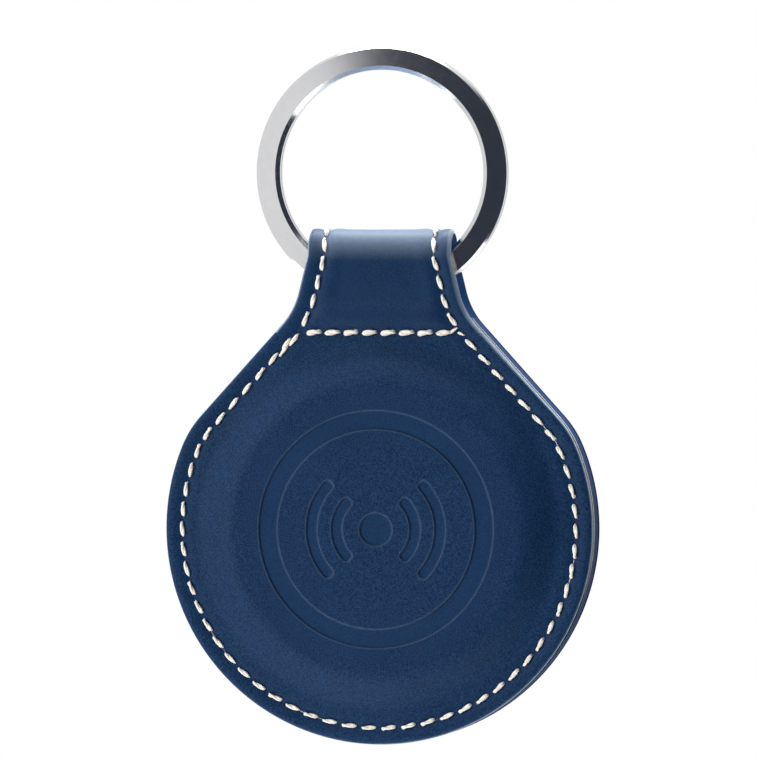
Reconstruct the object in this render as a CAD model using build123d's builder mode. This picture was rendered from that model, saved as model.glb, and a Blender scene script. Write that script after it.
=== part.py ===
from build123d import *

import os
from math import atan2, cos, degrees, radians, sin, sqrt

# Round leather key fob with a round Bluetooth tracker sewn inside, hanging from a flat split ring.
#
# Millimetres. +Z is up and the debossed front faces -Y. The origin is the inside of the ring's top, the
# point that a hook holds it by, so nearly everything lies below it. The tracker's axis runs along Y.
# A depth is a Y coordinate, and a height is measured up from the panels' centre unless it is named _Z.

# ------------------------------------------------------------------ ring
RING_INNER_R = 12.2
WIRE_WIDTH = 2.8
COIL_THICKNESS = 1.35
COIL_GAP = 0.1
RING_INNER_CHAMFER = 0.5
RING_OUTER_CHAMFER = 0.25
RAMP_ANGLE = 30.0  # where the wire steps from one coil to the other
WIRE_END_GAP = 1.2  # degrees left open beside each end of the wire

# ------------------------------------------------------------------ leather and layers
LEATHER = 1.5
LINING = 0.5
RIM_WIDTH = 3.8  # flat border outside the dome
DOME_SLOPE = 4.3
DOME_INSET = 1.5  # how far inside the puck's edge the raised middle starts to fall
LOOP_HALF_WIDTH = 8.6
NECK_FLARE = 1.6  # how far each side of the neck widens from the fold to the shoulder
NECK_RISE = 0.2  # corner of neck and shoulder above the round edge's own top
SHOULDER_ANGLE = 62.0  # from straight up, where the shoulder leaves the round edge
NECK_ROUND = 9.0
SHOULDER_ROUND = 12.0
RING_CLEARANCE = 0.2  # between the ring and the loop that it runs through
HANG_CLEARANCE = 0.15
TUNNEL_ROOM = 2.2  # below the ring, down to the inner layers
SEAM_DROP = 2.35  # closing seam below the round edge's own top
LAYERS_RISE = 1.7  # inner layers above the closing seam
PUCK_CLEARANCE = 0.4
PUCK_FACE_CLEARANCE = 0.1
WINDOW_CLEARANCE = 0.5

# ------------------------------------------------------------------ stitching
SEAM_INSET = 2.0
STITCH_PITCH = 2.4
STITCH_LENGTH = 1.6
THREAD = 0.5
THREAD_LOFT = 0.4  # height of a laid stitch
GROOVE_WIDTH = 0.8
GROOVE_DEPTH = 0.2
FOLD_STITCHES = 4

# ------------------------------------------------------------------ debossed mark
MARK_RING_OUTER_R = 14.0
MARK_RING_INNER_R = 11.9
MARK_DEPTH = 0.25
MARK_DOT_R = 1.9
WAVE_RADII = (4.7, 7.7)
WAVE_WIDTH = 1.2
WAVE_SPAN = 84.0

# ------------------------------------------------------------------ coin cell and its door
CELL_R = 10.0
CELL_THICKNESS = 3.2
CELL_SHEET = 0.25
CELL_CAP_INSET = 1.3
CELL_CAP_STEP = 0.3
CELL_CLEARANCE = 0.1
SKIRT_CLEARANCE = 0.5
SKIRT_WALL = 0.8
DOOR_FLANGE = 0.9
DOOR_THICKNESS = 0.95
DOOR_CLEARANCE = 0.2
RUNNING_GAP = 0.05
GASKET = 0.3
LEDGE_THICKNESS = 0.6
LUG_COUNT = 3
LUG_ANGLE = 24.0
LUG_REACH = 0.8
LUG_THICKNESS = 0.7
LUG_SLOT_ANGLE = 30.0
DOOR_TURN = 40.0
COIN_SLOT_LENGTH = 13.0
COIN_SLOT_WIDTH = 1.8
COIN_SLOT_DEPTH = 0.4
INDEX_DOT_R = 0.4
INDEX_DOT_DEPTH = 0.2

# ------------------------------------------------------------------ tracker housing
PUCK_WALL = 1.0
PUCK_SIDE_WALL = 1.3
PUCK_ROUND = 2.5
SHOULDER_FLAT = 1.4
BOSS_WALL = 1.0
WELL_WALL = 0.5
CHANNEL = 1.3  # between the door's well and the boss wall, for the sound ports and the light pipe
LIP = 0.5
LIP_DEPTH = 0.7
SEAL = 0.25
PORT_COUNT = 3
PORT_HOLE_R = 0.45
PORT_PITCH_ANGLE = 6.0
BUZZER_ANGLE = -90.0
LED_ANGLE = 30.0
PIPE_R = 0.6
MESH = 0.12

# ------------------------------------------------------------------ board and what is on it
FRONT_ROOM = 1.4  # between the front cover and the board
BOARD_THICKNESS = 0.7
BOARD_CLEARANCE = 0.8
CONTACT_ROOM = 0.55  # between the board and the cell
CONTACT_SHEET = 0.15
CRADLE_WALL = 0.7
CRADLE_HEIGHT = 1.7
CRADLE_FLANGE = 0.6
CRADLE_FOOT_ANGLE = 24.0
CRADLE_GAP_ANGLE = 30.0
SCREW_COUNT = 3
SCREW_EDGE = 2.0  # screw circle inside the board's edge
SCREW_R = 0.6
SCREW_HEAD_R = 1.15
SCREW_HEAD = 0.5
SCREW_CLEARANCE = 0.2
THREAD_CLEARANCE = 0.03
POST_R = 1.4
BUZZER_SIDE = 5.0
BUZZER_HEIGHT = 1.9
BUZZER_WALL = 0.4
BUZZER_CLEARANCE = 0.4
LED_HEIGHT = 0.6

# ------------------------------------------------------------------ button
BUTTON_R = 5.0
BUTTON_FLANGE = 0.8
BUTTON_FLANGE_THICKNESS = 0.3
BUTTON_TRAVEL = 0.3
SWITCH_SIDE = 3.4
SWITCH_BODY = 0.5
PLUNGER_R = 0.8
PLUNGER_HEIGHT = 0.45
PLUNGER_GAP = 0.02

# ------------------------------------------------------------------ what follows: puck
STEP = 0.01
SKIRT_OUTER_R = CELL_R + SKIRT_CLEARANCE + SKIRT_WALL
DOOR_R = SKIRT_OUTER_R + DOOR_FLANGE
WELL_R = SKIRT_OUTER_R + LUG_REACH + DOOR_CLEARANCE
CHANNEL_INNER_R = WELL_R + WELL_WALL
BOSS_INNER_R = CHANNEL_INNER_R + CHANNEL
BOSS_R = BOSS_INNER_R + BOSS_WALL
CHANNEL_R = (CHANNEL_INNER_R + BOSS_INNER_R) / 2
PUCK_R = BOSS_R + SHOULDER_FLAT + PUCK_ROUND
PUCK_INNER_R = PUCK_R - PUCK_SIDE_WALL
PUCK_HALF = (2 * PUCK_WALL + FRONT_ROOM + BOARD_THICKNESS + BUZZER_HEIGHT + BUZZER_CLEARANCE) / 2
INNER_Y = PUCK_HALF - PUCK_WALL
BOARD_FRONT_Y = FRONT_ROOM - INNER_Y
BOARD_REAR_Y = BOARD_FRONT_Y + BOARD_THICKNESS
PARTING_Y = BOARD_REAR_Y + CRADLE_FLANGE - RUNNING_GAP * 2
CELL_FRONT_Y = BOARD_REAR_Y + CONTACT_ROOM
CELL_REAR_Y = CELL_FRONT_Y + CELL_THICKNESS
DOOR_FRONT_Y = CELL_REAR_Y + CELL_CLEARANCE
BOSS_Y = DOOR_FRONT_Y + DOOR_THICKNESS
LEDGE_REAR_Y = DOOR_FRONT_Y - GASKET - RUNNING_GAP
LEDGE_FRONT_Y = LEDGE_REAR_Y - LEDGE_THICKNESS
LUG_REAR_Y = LEDGE_FRONT_Y - RUNNING_GAP
LUG_FRONT_Y = LUG_REAR_Y - LUG_THICKNESS
BOARD_R = PUCK_INNER_R - BOARD_CLEARANCE
SCREW_CIRCLE_R = BOARD_R - SCREW_EDGE
CRADLE_INNER_R = CELL_R + CELL_CLEARANCE * 2
CRADLE_OUTER_R = CRADLE_INNER_R + CRADLE_WALL
BUZZER_R = CRADLE_OUTER_R + BUZZER_CLEARANCE + BUZZER_SIDE / 2
SWITCH_FRONT_Y = BOARD_FRONT_Y - SWITCH_BODY
STEM_END_Y = SWITCH_FRONT_Y - PLUNGER_HEIGHT - PLUNGER_GAP
FLANGE_FRONT_Y = RUNNING_GAP - INNER_Y
FLANGE_REAR_Y = FLANGE_FRONT_Y + BUTTON_FLANGE_THICKNESS
PILOT_DEPTH = INNER_Y + BOARD_FRONT_Y + PUCK_WALL / 2

# ------------------------------------------------------------------ what follows: leather and ring
RING_OUTER_R = RING_INNER_R + WIRE_WIDTH
RING_HALF = COIL_THICKNESS + COIL_GAP / 2
RING_CENTRE_Z = -RING_INNER_R
LOOP_HALF_GAP = RING_HALF + RING_CLEARANCE
FOLD_OUTER_R = LOOP_HALF_GAP + LEATHER
RIM_Y = FOLD_OUTER_R
STIFFENER = LOOP_HALF_GAP - LINING
LINING_TOP_Y = PUCK_HALF + PUCK_FACE_CLEARANCE + LINING
LEATHER_TOP_Y = LINING_TOP_Y + LEATHER
DOME_TOP_R = PUCK_R - DOME_INSET
DOME_FOOT_R = DOME_TOP_R + DOME_SLOPE
PANEL_R = DOME_FOOT_R + RIM_WIDTH
SEAM_HEIGHT = PANEL_R - SEAM_DROP
LAYERS_TOP = SEAM_HEIGHT + LAYERS_RISE
RING_EDGE_Z = RING_CENTRE_Z - sqrt(RING_INNER_R**2 - LOOP_HALF_WIDTH**2)
FOLD_Z = RING_EDGE_Z - sqrt(LOOP_HALF_GAP**2 - (RING_HALF - RING_INNER_CHAMFER) ** 2) + HANG_CLEARANCE
CENTRE_Z = RING_CENTRE_Z - RING_OUTER_R - TUNNEL_ROOM - LAYERS_TOP
NECK_TOP = FOLD_Z - CENTRE_Z
WINDOW_R = BOSS_R + WINDOW_CLEARANCE
SEAM_X = LOOP_HALF_WIDTH - SEAM_INSET

disc_axis = Axis((0, 0, CENTRE_Z), (0, 1, 0))
ring_axis = Axis((0, 0, RING_CENTRE_Z), (0, 1, 0))
os.makedirs("parts", exist_ok=True)


# ------------------------------------------------------------------ planes and shapes used more than once
def at_depth(y):
    """Sketch plane at that depth, seen from the front: local x is +X and local y is the height."""
    return Plane(origin=(0, y, CENTRE_Z), x_dir=(1, 0, 0), z_dir=(0, -1, 0))


def ring_plane(angle):
    """Plane through the ring's axis, whose local x is the radius and local y the depth, turned about +Y."""
    x_dir = (cos(radians(angle)), 0, -sin(radians(angle)))
    z_dir = (sin(radians(angle)), 0, cos(radians(angle)))
    return Plane(origin=(0, 0, RING_CENTRE_Z), x_dir=x_dir, z_dir=z_dir)


def spot(radius, angle):
    """Point at that radius and angle, in degrees from +X towards +Z."""
    return (radius * cos(radians(angle)), radius * sin(radians(angle)))


def sector(inner_r, outer_r, angle, span):
    """Piece of a flat ring, as wide as span degrees about the angle."""
    with BuildSketch() as shape:
        with BuildLine():
            inner = CenterArc((0, 0), inner_r, angle - span / 2, span)
            outer = CenterArc((0, 0), outer_r, angle - span / 2, span)
            Line(inner @ 0, outer @ 0)
            Line(inner @ 1, outer @ 1)
        make_face()
    return shape.sketch


def outline(top, inset=0.0):
    """A panel's outline up to that height: round below, shoulders and a flared neck above."""
    shoulder = (PANEL_R * sin(radians(SHOULDER_ANGLE)), PANEL_R * cos(radians(SHOULDER_ANGLE)))
    corner = (LOOP_HALF_WIDTH + NECK_FLARE, PANEL_R + NECK_RISE)
    flare = NECK_FLARE / (NECK_TOP - corner[1])
    # the neck runs on past the fold's axis, so that an inset leaves its sides whole up to the fold
    over = NECK_TOP + 2 * inset
    end = (LOOP_HALF_WIDTH - 2 * inset * flare, over)
    with BuildSketch() as shape:
        with BuildLine():
            Polyline(shoulder, corner, end, (0, over), (0, -PANEL_R))
            ThreePointArc((0, -PANEL_R), spot(PANEL_R, -SHOULDER_ANGLE / 2), shoulder)
        make_face()
        fillet([v for v in shape.vertices() if abs(v.Y - corner[1]) < STEP], NECK_ROUND)
        fillet([v for v in shape.vertices() if abs(v.Y - shoulder[1]) < STEP], SHOULDER_ROUND)
        mirror(about=Plane.YZ)
        if inset:
            offset(amount=-inset, kind=Kind.INTERSECTION)
        with Locations((0, top)):
            Rectangle(PANEL_R * 4, PANEL_R * 4, align=(Align.CENTER, Align.MAX), mode=Mode.INTERSECT)
    return shape.sketch


def dome(rim_y, top_y, side):
    """Solid from the mid-plane out to a skin that rises from the flat rim to the raised middle."""
    with BuildPart() as solid:
        with BuildSketch(Plane.XY.offset(CENTRE_Z)):
            with BuildLine():
                Polyline((DOME_FOOT_R, side * rim_y), (DOME_FOOT_R, 0), (0, 0), (0, side * top_y))
                Line((0, side * top_y), (DOME_TOP_R, side * top_y))
                Spline((DOME_TOP_R, side * top_y), (DOME_FOOT_R, side * rim_y), tangents=((1, 0), (1, 0)))
            make_face()
        revolve(axis=disc_axis)
    return solid.part


def fold(inner_r, outer_r, width, x=0.0):
    """Half tube over the ring, open downwards, centred at x."""
    with BuildPart() as tube:
        with BuildSketch(Plane.YZ.offset(x)):
            with Locations((0, FOLD_Z)):
                Circle(outer_r)
                Circle(inner_r, mode=Mode.SUBTRACT)
                Rectangle(outer_r * 2, outer_r, align=(Align.CENTER, Align.MAX), mode=Mode.SUBTRACT)
        extrude(amount=width / 2, both=True)
    return tube.part


def coil_section(side):
    """Section of the front or rear coil: chamfered outside, plain where it lies on the other coil."""
    inner_side = side * COIL_GAP / 2
    outer_side = side * RING_HALF
    with BuildSketch() as section:
        with BuildLine():
            Polyline(
                (RING_INNER_R, inner_side),
                (RING_INNER_R, outer_side - side * RING_INNER_CHAMFER),
                (RING_INNER_R + RING_INNER_CHAMFER, outer_side),
                (RING_OUTER_R - RING_OUTER_CHAMFER, outer_side),
                (RING_OUTER_R, outer_side - side * RING_OUTER_CHAMFER),
                (RING_OUTER_R, inner_side),
                close=True,
            )
        make_face()
    return section.sketch


def stitches_along(path, low, high):
    """Point and direction of each stitch on a path, on its stretches between two heights."""
    steps = 600
    inside = [i / steps for i in range(steps + 1) if low <= (path @ (i / steps)).Y <= high]
    runs = [[inside[0]]]
    for u in inside[1:]:
        if u - runs[-1][-1] > 1.5 / steps:
            runs.append([])
        runs[-1].append(u)
    placed = []
    for run in runs:
        start, end = run[0], run[-1]
        count = round((end - start) * path.length / STITCH_PITCH)
        for i in range(count):
            u = start + (end - start) * (i + 0.5) / count
            way = path % u
            placed.append((path @ u, degrees(atan2(way.Y, way.X))))
    return placed


def laid_stitches(placed):
    """A stitch at each place on the front and on the rear, lying in its groove."""
    with BuildPart() as thread:
        for side in (-1, 1):
            with BuildSketch(at_depth(side * (RIM_Y - GROOVE_DEPTH))):
                for point, angle in placed:
                    with Locations(point):
                        SlotOverall(STITCH_LENGTH, THREAD, rotation=angle)
            extrude(amount=-side * THREAD_LOFT)
    return thread.part


panel = outline(NECK_TOP)
pocket = outline(LAYERS_TOP)
seam_outline = outline(NECK_TOP, SEAM_INSET)
seam_path = Wire(seam_outline.edges().filter_by(lambda e: (e @ 0.5).Y < NECK_TOP - STEP))

# The closing seam runs between the two points where the edge seam passes its height.
walk = [seam_path @ (i / 2000) for i in range(2001)]
SEAM_END_X = min((abs(p.Y - SEAM_HEIGHT), abs(p.X)) for p in walk)[1]
screw_spots = [spot(SCREW_CIRCLE_R, 90 + i * 360 / SCREW_COUNT) for i in range(SCREW_COUNT)]
port_angles = [BUZZER_ANGLE + (i - (PORT_COUNT - 1) / 2) * PORT_PITCH_ANGLE for i in range(PORT_COUNT)]

# ------------------------------------------------------------------ key ring: one flat wire wound twice
ARC = 360 - RAMP_ANGLE - WIRE_END_GAP
ramp_start = 90 - RAMP_ANGLE / 2  # 90 degrees about +Y from +X is straight down, inside the loop
ramp_end = 90 + RAMP_ANGLE / 2
ramp_x = RING_INNER_R * sin(radians(RAMP_ANGLE / 2))
front_section = coil_section(-1)
rear_section = coil_section(1)

with BuildPart() as ramp:
    with BuildSketch(ring_plane(ramp_start)):
        add(front_section)
        add(rear_section)
        with Locations(((RING_INNER_R + RING_OUTER_R) / 2, 0)):
            Rectangle(WIRE_WIDTH, COIL_GAP)
    revolve(axis=ring_axis, revolution_arc=RAMP_ANGLE)
    # the wire's slanting band, seen from above: front coil on the left, rear coil on the right
    with BuildSketch(Plane.XY.offset(RING_CENTRE_Z)):
        with BuildLine():
            Polyline(
                (-RING_OUTER_R, -RING_HALF),
                (-ramp_x, -RING_HALF),
                (ramp_x, COIL_GAP / 2),
                (RING_OUTER_R, COIL_GAP / 2),
                (RING_OUTER_R, RING_HALF),
                (ramp_x, RING_HALF),
                (-ramp_x, -COIL_GAP / 2),
                (-RING_OUTER_R, -COIL_GAP / 2),
                close=True,
            )
        make_face()
    extrude(amount=-RING_OUTER_R, mode=Mode.INTERSECT)

with BuildPart() as key_ring:
    with BuildSketch(ring_plane(ramp_end)):
        add(front_section)
    revolve(axis=ring_axis, revolution_arc=ARC)
    with BuildSketch(ring_plane(ramp_end + WIRE_END_GAP)):
        add(rear_section)
    revolve(axis=ring_axis, revolution_arc=ARC)
    add(ramp.part)
key_ring.part.label = "key_ring"
export_step(key_ring.part, "parts/key_ring.step")

# ------------------------------------------------------------------ leather: one piece folded over the ring
with BuildPart() as mark:
    with BuildSketch(at_depth(-LEATHER_TOP_Y)):
        Circle(MARK_RING_OUTER_R)
        Circle(MARK_RING_INNER_R, mode=Mode.SUBTRACT)
        Circle(MARK_DOT_R)
        for wave_r in WAVE_RADII:
            for facing in (0, 180):
                SlotArc(CenterArc((0, 0), wave_r, facing - WAVE_SPAN / 2, WAVE_SPAN), WAVE_WIDTH)
    extrude(amount=-MARK_DEPTH)

groove_outside = outline(NECK_TOP, SEAM_INSET - GROOVE_WIDTH / 2)
groove_inside = outline(NECK_TOP, SEAM_INSET + GROOVE_WIDTH / 2)
groove_floor_r = FOLD_OUTER_R - GROOVE_DEPTH
fold_grooves = [fold(groove_floor_r, FOLD_OUTER_R + STEP, GROOVE_WIDTH, x) for x in (-SEAM_X, SEAM_X)]
loop_leather = fold(LOOP_HALF_GAP, FOLD_OUTER_R, LOOP_HALF_WIDTH * 2)
leather_domes = [dome(RIM_Y, LEATHER_TOP_Y, side) for side in (-1, 1)]
leather_hollows = [dome(LOOP_HALF_GAP, LINING_TOP_Y, side) for side in (-1, 1)]

with BuildPart() as leather_shell:
    for side in (-1, 1):
        with BuildSketch(at_depth(side * LOOP_HALF_GAP)):
            add(panel)
            Circle(DOME_FOOT_R - STEP, mode=Mode.SUBTRACT)
        extrude(amount=-side * LEATHER)
    add(leather_domes)
    add(leather_hollows, mode=Mode.SUBTRACT)
    add(loop_leather)
    with BuildSketch(at_depth(0)):
        Circle(WINDOW_R)
    extrude(amount=-LEATHER_TOP_Y, mode=Mode.SUBTRACT)
    add(mark.part, mode=Mode.SUBTRACT)
    for side in (-1, 1):
        with BuildSketch(at_depth(side * RIM_Y)):
            add(groove_outside)
            add(groove_inside, mode=Mode.SUBTRACT)
            with Locations((0, SEAM_HEIGHT)):
                Rectangle(2 * SEAM_END_X, GROOVE_WIDTH)
        extrude(amount=side * GROOVE_DEPTH, mode=Mode.SUBTRACT)
    add(fold_grooves, mode=Mode.SUBTRACT)
leather_shell.part.label = "leather_shell"
export_step(leather_shell.part, "parts/leather_shell.step")

# ------------------------------------------------------------------ linings and the two rings between them
lining_domes = leather_hollows
lining_hollows = [dome(LOOP_HALF_GAP - LINING, LINING_TOP_Y - LINING, side) for side in (-1, 1)]

with BuildPart() as front_lining:
    with BuildSketch(at_depth(LINING - LOOP_HALF_GAP)):
        add(pocket)
    extrude(amount=LINING)
    add(lining_domes[0])
    add(lining_hollows[0], mode=Mode.SUBTRACT)
front_lining.part.label = "front_lining"
export_step(front_lining.part, "parts/front_lining.step")

with BuildPart() as back_lining:
    with BuildSketch(at_depth(LOOP_HALF_GAP - LINING)):
        add(pocket)
    extrude(amount=-LINING)
    add(lining_domes[1])
    add(lining_hollows[1], mode=Mode.SUBTRACT)
    with BuildSketch(at_depth(0)):
        Circle(WINDOW_R)
    extrude(amount=-LEATHER_TOP_Y, mode=Mode.SUBTRACT)
back_lining.part.label = "back_lining"
export_step(back_lining.part, "parts/back_lining.step")

with BuildPart() as front_spacer:
    with BuildSketch(at_depth(0)):
        add(pocket)
        Circle(PUCK_R + PUCK_CLEARANCE, mode=Mode.SUBTRACT)
    extrude(amount=STIFFENER)
front_spacer.part.label = "front_spacer"
export_step(front_spacer.part, "parts/front_spacer.step")

with BuildPart() as back_stiffener:
    with BuildSketch(at_depth(0)):
        add(pocket)
        Circle(PUCK_R + PUCK_CLEARANCE, mode=Mode.SUBTRACT)
    extrude(amount=-STIFFENER)
back_stiffener.part.label = "back_stiffener"
export_step(back_stiffener.part, "parts/back_stiffener.step")

# ------------------------------------------------------------------ stitching
edge_stitches = laid_stitches(stitches_along(seam_path, -PANEL_R, SEAM_HEIGHT))
neck_stitches = laid_stitches(stitches_along(seam_path, SEAM_HEIGHT + GROOVE_WIDTH / 2, NECK_TOP))
closing_half = SEAM_END_X - GROOVE_WIDTH / 2 - THREAD / 2
closing_count = round(2 * closing_half / STITCH_PITCH)
closing_step = 2 * closing_half / closing_count
closing_row = [((closing_step * (i + 0.5) - closing_half, SEAM_HEIGHT), 0) for i in range(closing_count)]
closing_stitches = laid_stitches(closing_row)

with BuildPart() as perimeter_stitching:
    add(edge_stitches)
perimeter_stitching.part.label = "perimeter_stitching"
export_step(perimeter_stitching.part, "parts/perimeter_stitching.step")

with BuildPart() as closing_stitching:
    add(closing_stitches)
closing_stitching.part.label = "closing_stitching"
export_step(closing_stitching.part, "parts/closing_stitching.step")

stitch_span = degrees(STITCH_LENGTH / FOLD_OUTER_R)
thread_low = FOLD_OUTER_R - GROOVE_DEPTH
thread_high = thread_low + THREAD_LOFT
with BuildPart() as loop_stitching:
    add(neck_stitches)
    for seam_x in (-SEAM_X, SEAM_X):
        with BuildSketch(Plane.YZ.offset(seam_x)):
            for i in range(FOLD_STITCHES):
                with Locations((0, FOLD_Z)):
                    add(sector(thread_low, thread_high, 180 * (i + 0.5) / FOLD_STITCHES, stitch_span))
        extrude(amount=THREAD / 2, both=True)
loop_stitching.part.label = "loop_stitching"
export_step(loop_stitching.part, "parts/loop_stitching.step")

# ------------------------------------------------------------------ tracker housing
with BuildPart() as puck_front_cover:
    with BuildSketch(at_depth(PARTING_Y)):
        Circle(PUCK_R)
    extrude(amount=PARTING_Y + PUCK_HALF)
    fillet(puck_front_cover.faces().sort_by(Axis.Y)[0].edges(), PUCK_ROUND)
    with BuildSketch(at_depth(PARTING_Y)):
        Circle(PUCK_INNER_R)
    extrude(amount=PARTING_Y + INNER_Y, mode=Mode.SUBTRACT)
    with BuildSketch(at_depth(PARTING_Y)):
        Circle(PUCK_INNER_R + LIP)
        Circle(PUCK_INNER_R, mode=Mode.SUBTRACT)
    extrude(amount=-LIP_DEPTH)
    with BuildSketch(at_depth(BOARD_FRONT_Y)):
        with Locations(screw_spots):
            Circle(POST_R)
    extrude(amount=INNER_Y + BOARD_FRONT_Y)
    with BuildSketch(at_depth(BOARD_FRONT_Y)):
        with Locations(screw_spots):
            Circle(SCREW_R + THREAD_CLEARANCE)
    extrude(amount=PILOT_DEPTH, mode=Mode.SUBTRACT)
    with BuildSketch(at_depth(0)):
        Circle(BUTTON_R + DOOR_CLEARANCE)
    extrude(amount=PUCK_HALF, mode=Mode.SUBTRACT)
puck_front_cover.part.label = "puck_front_cover"
export_step(puck_front_cover.part, "parts/puck_front_cover.step")

with BuildPart() as housing_seal:
    with BuildSketch(at_depth(PARTING_Y + LIP_DEPTH)):
        Circle(PUCK_INNER_R + LIP)
        Circle(PUCK_INNER_R + RUNNING_GAP, mode=Mode.SUBTRACT)
    extrude(amount=-SEAL)
housing_seal.part.label = "housing_seal"
export_step(housing_seal.part, "parts/housing_seal.step")

with BuildPart() as puck_rear_housing:
    with BuildSketch(at_depth(PARTING_Y)):
        Circle(PUCK_R)
    extrude(amount=PARTING_Y - PUCK_HALF)
    fillet(puck_rear_housing.faces().sort_by(Axis.Y)[-1].edges(), PUCK_ROUND)
    with BuildSketch(at_depth(PARTING_Y)):
        Circle(BOSS_R)
    extrude(amount=PARTING_Y - BOSS_Y)
    fillet(puck_rear_housing.faces().sort_by(Axis.Y)[-1].edges(), BOSS_WALL / 3)
    with BuildSketch(at_depth(PARTING_Y)):
        Circle(PUCK_INNER_R)
    extrude(amount=PARTING_Y - INNER_Y, mode=Mode.SUBTRACT)
    with BuildSketch(at_depth(PARTING_Y)):
        Circle(PUCK_INNER_R + LIP + RUNNING_GAP)
    extrude(amount=-(LIP_DEPTH + SEAL), mode=Mode.SUBTRACT)
    with BuildSketch(at_depth(0)):
        Circle(BOSS_INNER_R)
    extrude(amount=BOSS_WALL - BOSS_Y, mode=Mode.SUBTRACT)
    # the door's well hangs from the boss and carries the ledge that the lugs turn under
    with BuildSketch(at_depth(BOSS_Y)):
        Circle(CHANNEL_INNER_R)
    extrude(amount=BOSS_Y - LUG_FRONT_Y)
    with BuildSketch(at_depth(BOSS_Y)):
        Circle(DOOR_R + DOOR_CLEARANCE)
    extrude(amount=BOSS_Y - LEDGE_REAR_Y, mode=Mode.SUBTRACT)
    with BuildSketch(at_depth(BOSS_Y)):
        Circle(SKIRT_OUTER_R + DOOR_CLEARANCE)
        for i in range(LUG_COUNT):
            add(sector(SKIRT_OUTER_R, WELL_R, i * 360 / LUG_COUNT - DOOR_TURN, LUG_SLOT_ANGLE))
    extrude(amount=BOSS_Y, mode=Mode.SUBTRACT)
    with BuildSketch(at_depth(LEDGE_FRONT_Y)):
        Circle(WELL_R)
    extrude(amount=LEDGE_FRONT_Y, mode=Mode.SUBTRACT)
    with BuildSketch(at_depth(BOSS_Y)):
        with Locations([spot(CHANNEL_R, a) for a in port_angles]):
            Circle(PORT_HOLE_R)
        with Locations(spot(CHANNEL_R, LED_ANGLE)):
            Circle(PIPE_R + RUNNING_GAP)
    extrude(amount=BOSS_WALL, mode=Mode.SUBTRACT)
    with BuildSketch(at_depth(BOSS_Y)):
        with Locations(spot(CHANNEL_R, 90), spot(CHANNEL_R, 90 - DOOR_TURN)):
            Circle(INDEX_DOT_R)
    extrude(amount=INDEX_DOT_DEPTH, mode=Mode.SUBTRACT)
puck_rear_housing.part.label = "puck_rear_housing"
export_step(puck_rear_housing.part, "parts/puck_rear_housing.step")

with BuildPart() as acoustic_mesh:
    with BuildSketch(at_depth(BOSS_Y - BOSS_WALL)):
        mesh_r = CHANNEL_INNER_R + RUNNING_GAP
        add(sector(mesh_r, BOSS_INNER_R - RUNNING_GAP, BUZZER_ANGLE, PORT_PITCH_ANGLE * 4))
    extrude(amount=MESH)
acoustic_mesh.part.label = "acoustic_mesh"
export_step(acoustic_mesh.part, "parts/acoustic_mesh.step")

# ------------------------------------------------------------------ battery door
with BuildPart() as battery_door:
    with BuildSketch(at_depth(DOOR_FRONT_Y)):
        Circle(DOOR_R)
    extrude(amount=-DOOR_THICKNESS)
    fillet(battery_door.faces().sort_by(Axis.Y)[-1].edges(), DOOR_THICKNESS / 3)
    with BuildSketch(at_depth(LUG_FRONT_Y)):
        Circle(SKIRT_OUTER_R)
        Circle(SKIRT_OUTER_R - SKIRT_WALL, mode=Mode.SUBTRACT)
    extrude(amount=LUG_FRONT_Y - DOOR_FRONT_Y)
    with BuildSketch(at_depth(LUG_FRONT_Y)):
        for i in range(LUG_COUNT):
            reach_r = SKIRT_OUTER_R + LUG_REACH
            add(sector(SKIRT_OUTER_R - SKIRT_WALL / 2, reach_r, i * 360 / LUG_COUNT, LUG_ANGLE))
    extrude(amount=-LUG_THICKNESS)
    with BuildSketch(at_depth(BOSS_Y)):
        SlotOverall(COIN_SLOT_LENGTH, COIN_SLOT_WIDTH)
    extrude(amount=COIN_SLOT_DEPTH, mode=Mode.SUBTRACT)
    with BuildSketch(at_depth(BOSS_Y)):
        with Locations(spot(SKIRT_OUTER_R - SKIRT_WALL, 90)):
            Circle(INDEX_DOT_R)
    extrude(amount=INDEX_DOT_DEPTH, mode=Mode.SUBTRACT)
battery_door.part.label = "battery_door"
export_step(battery_door.part, "parts/battery_door.step")

with BuildPart() as door_gasket:
    with BuildSketch(at_depth(DOOR_FRONT_Y)):
        Circle(DOOR_R - RUNNING_GAP)
        Circle(SKIRT_OUTER_R + RUNNING_GAP, mode=Mode.SUBTRACT)
    extrude(amount=GASKET)
door_gasket.part.label = "door_gasket"
export_step(door_gasket.part, "parts/door_gasket.step")

# ------------------------------------------------------------------ coin cell, its cap filled solid
with BuildPart() as cell_can:
    with BuildSketch(at_depth(CELL_REAR_Y)):
        Circle(CELL_R)
    extrude(amount=CELL_THICKNESS - CELL_CAP_STEP)
    fillet(cell_can.faces().sort_by(Axis.Y)[-1].edges(), CELL_SHEET)
    with BuildSketch(at_depth(CELL_REAR_Y - CELL_SHEET)):
        Circle(CELL_R - CELL_SHEET)
    extrude(amount=CELL_THICKNESS, mode=Mode.SUBTRACT)
cell_can.part.label = "cell_can"
export_step(cell_can.part, "parts/cell_can.step")

with BuildPart() as cell_cap:
    with BuildSketch(at_depth(CELL_REAR_Y - CELL_SHEET)):
        Circle(CELL_R - CELL_CAP_INSET)
    extrude(amount=CELL_THICKNESS - CELL_SHEET)
    fillet(cell_cap.faces().sort_by(Axis.Y)[0].edges(), CELL_SHEET)
cell_cap.part.label = "cell_cap"
export_step(cell_cap.part, "parts/cell_cap.step")

with BuildPart() as cell_seal:
    with BuildSketch(at_depth(CELL_REAR_Y - CELL_SHEET)):
        Circle(CELL_R - CELL_SHEET)
        Circle(CELL_R - CELL_CAP_INSET, mode=Mode.SUBTRACT)
    extrude(amount=CELL_THICKNESS - CELL_CAP_STEP - CELL_SHEET)
cell_seal.part.label = "cell_seal"
export_step(cell_seal.part, "parts/cell_seal.step")

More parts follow.
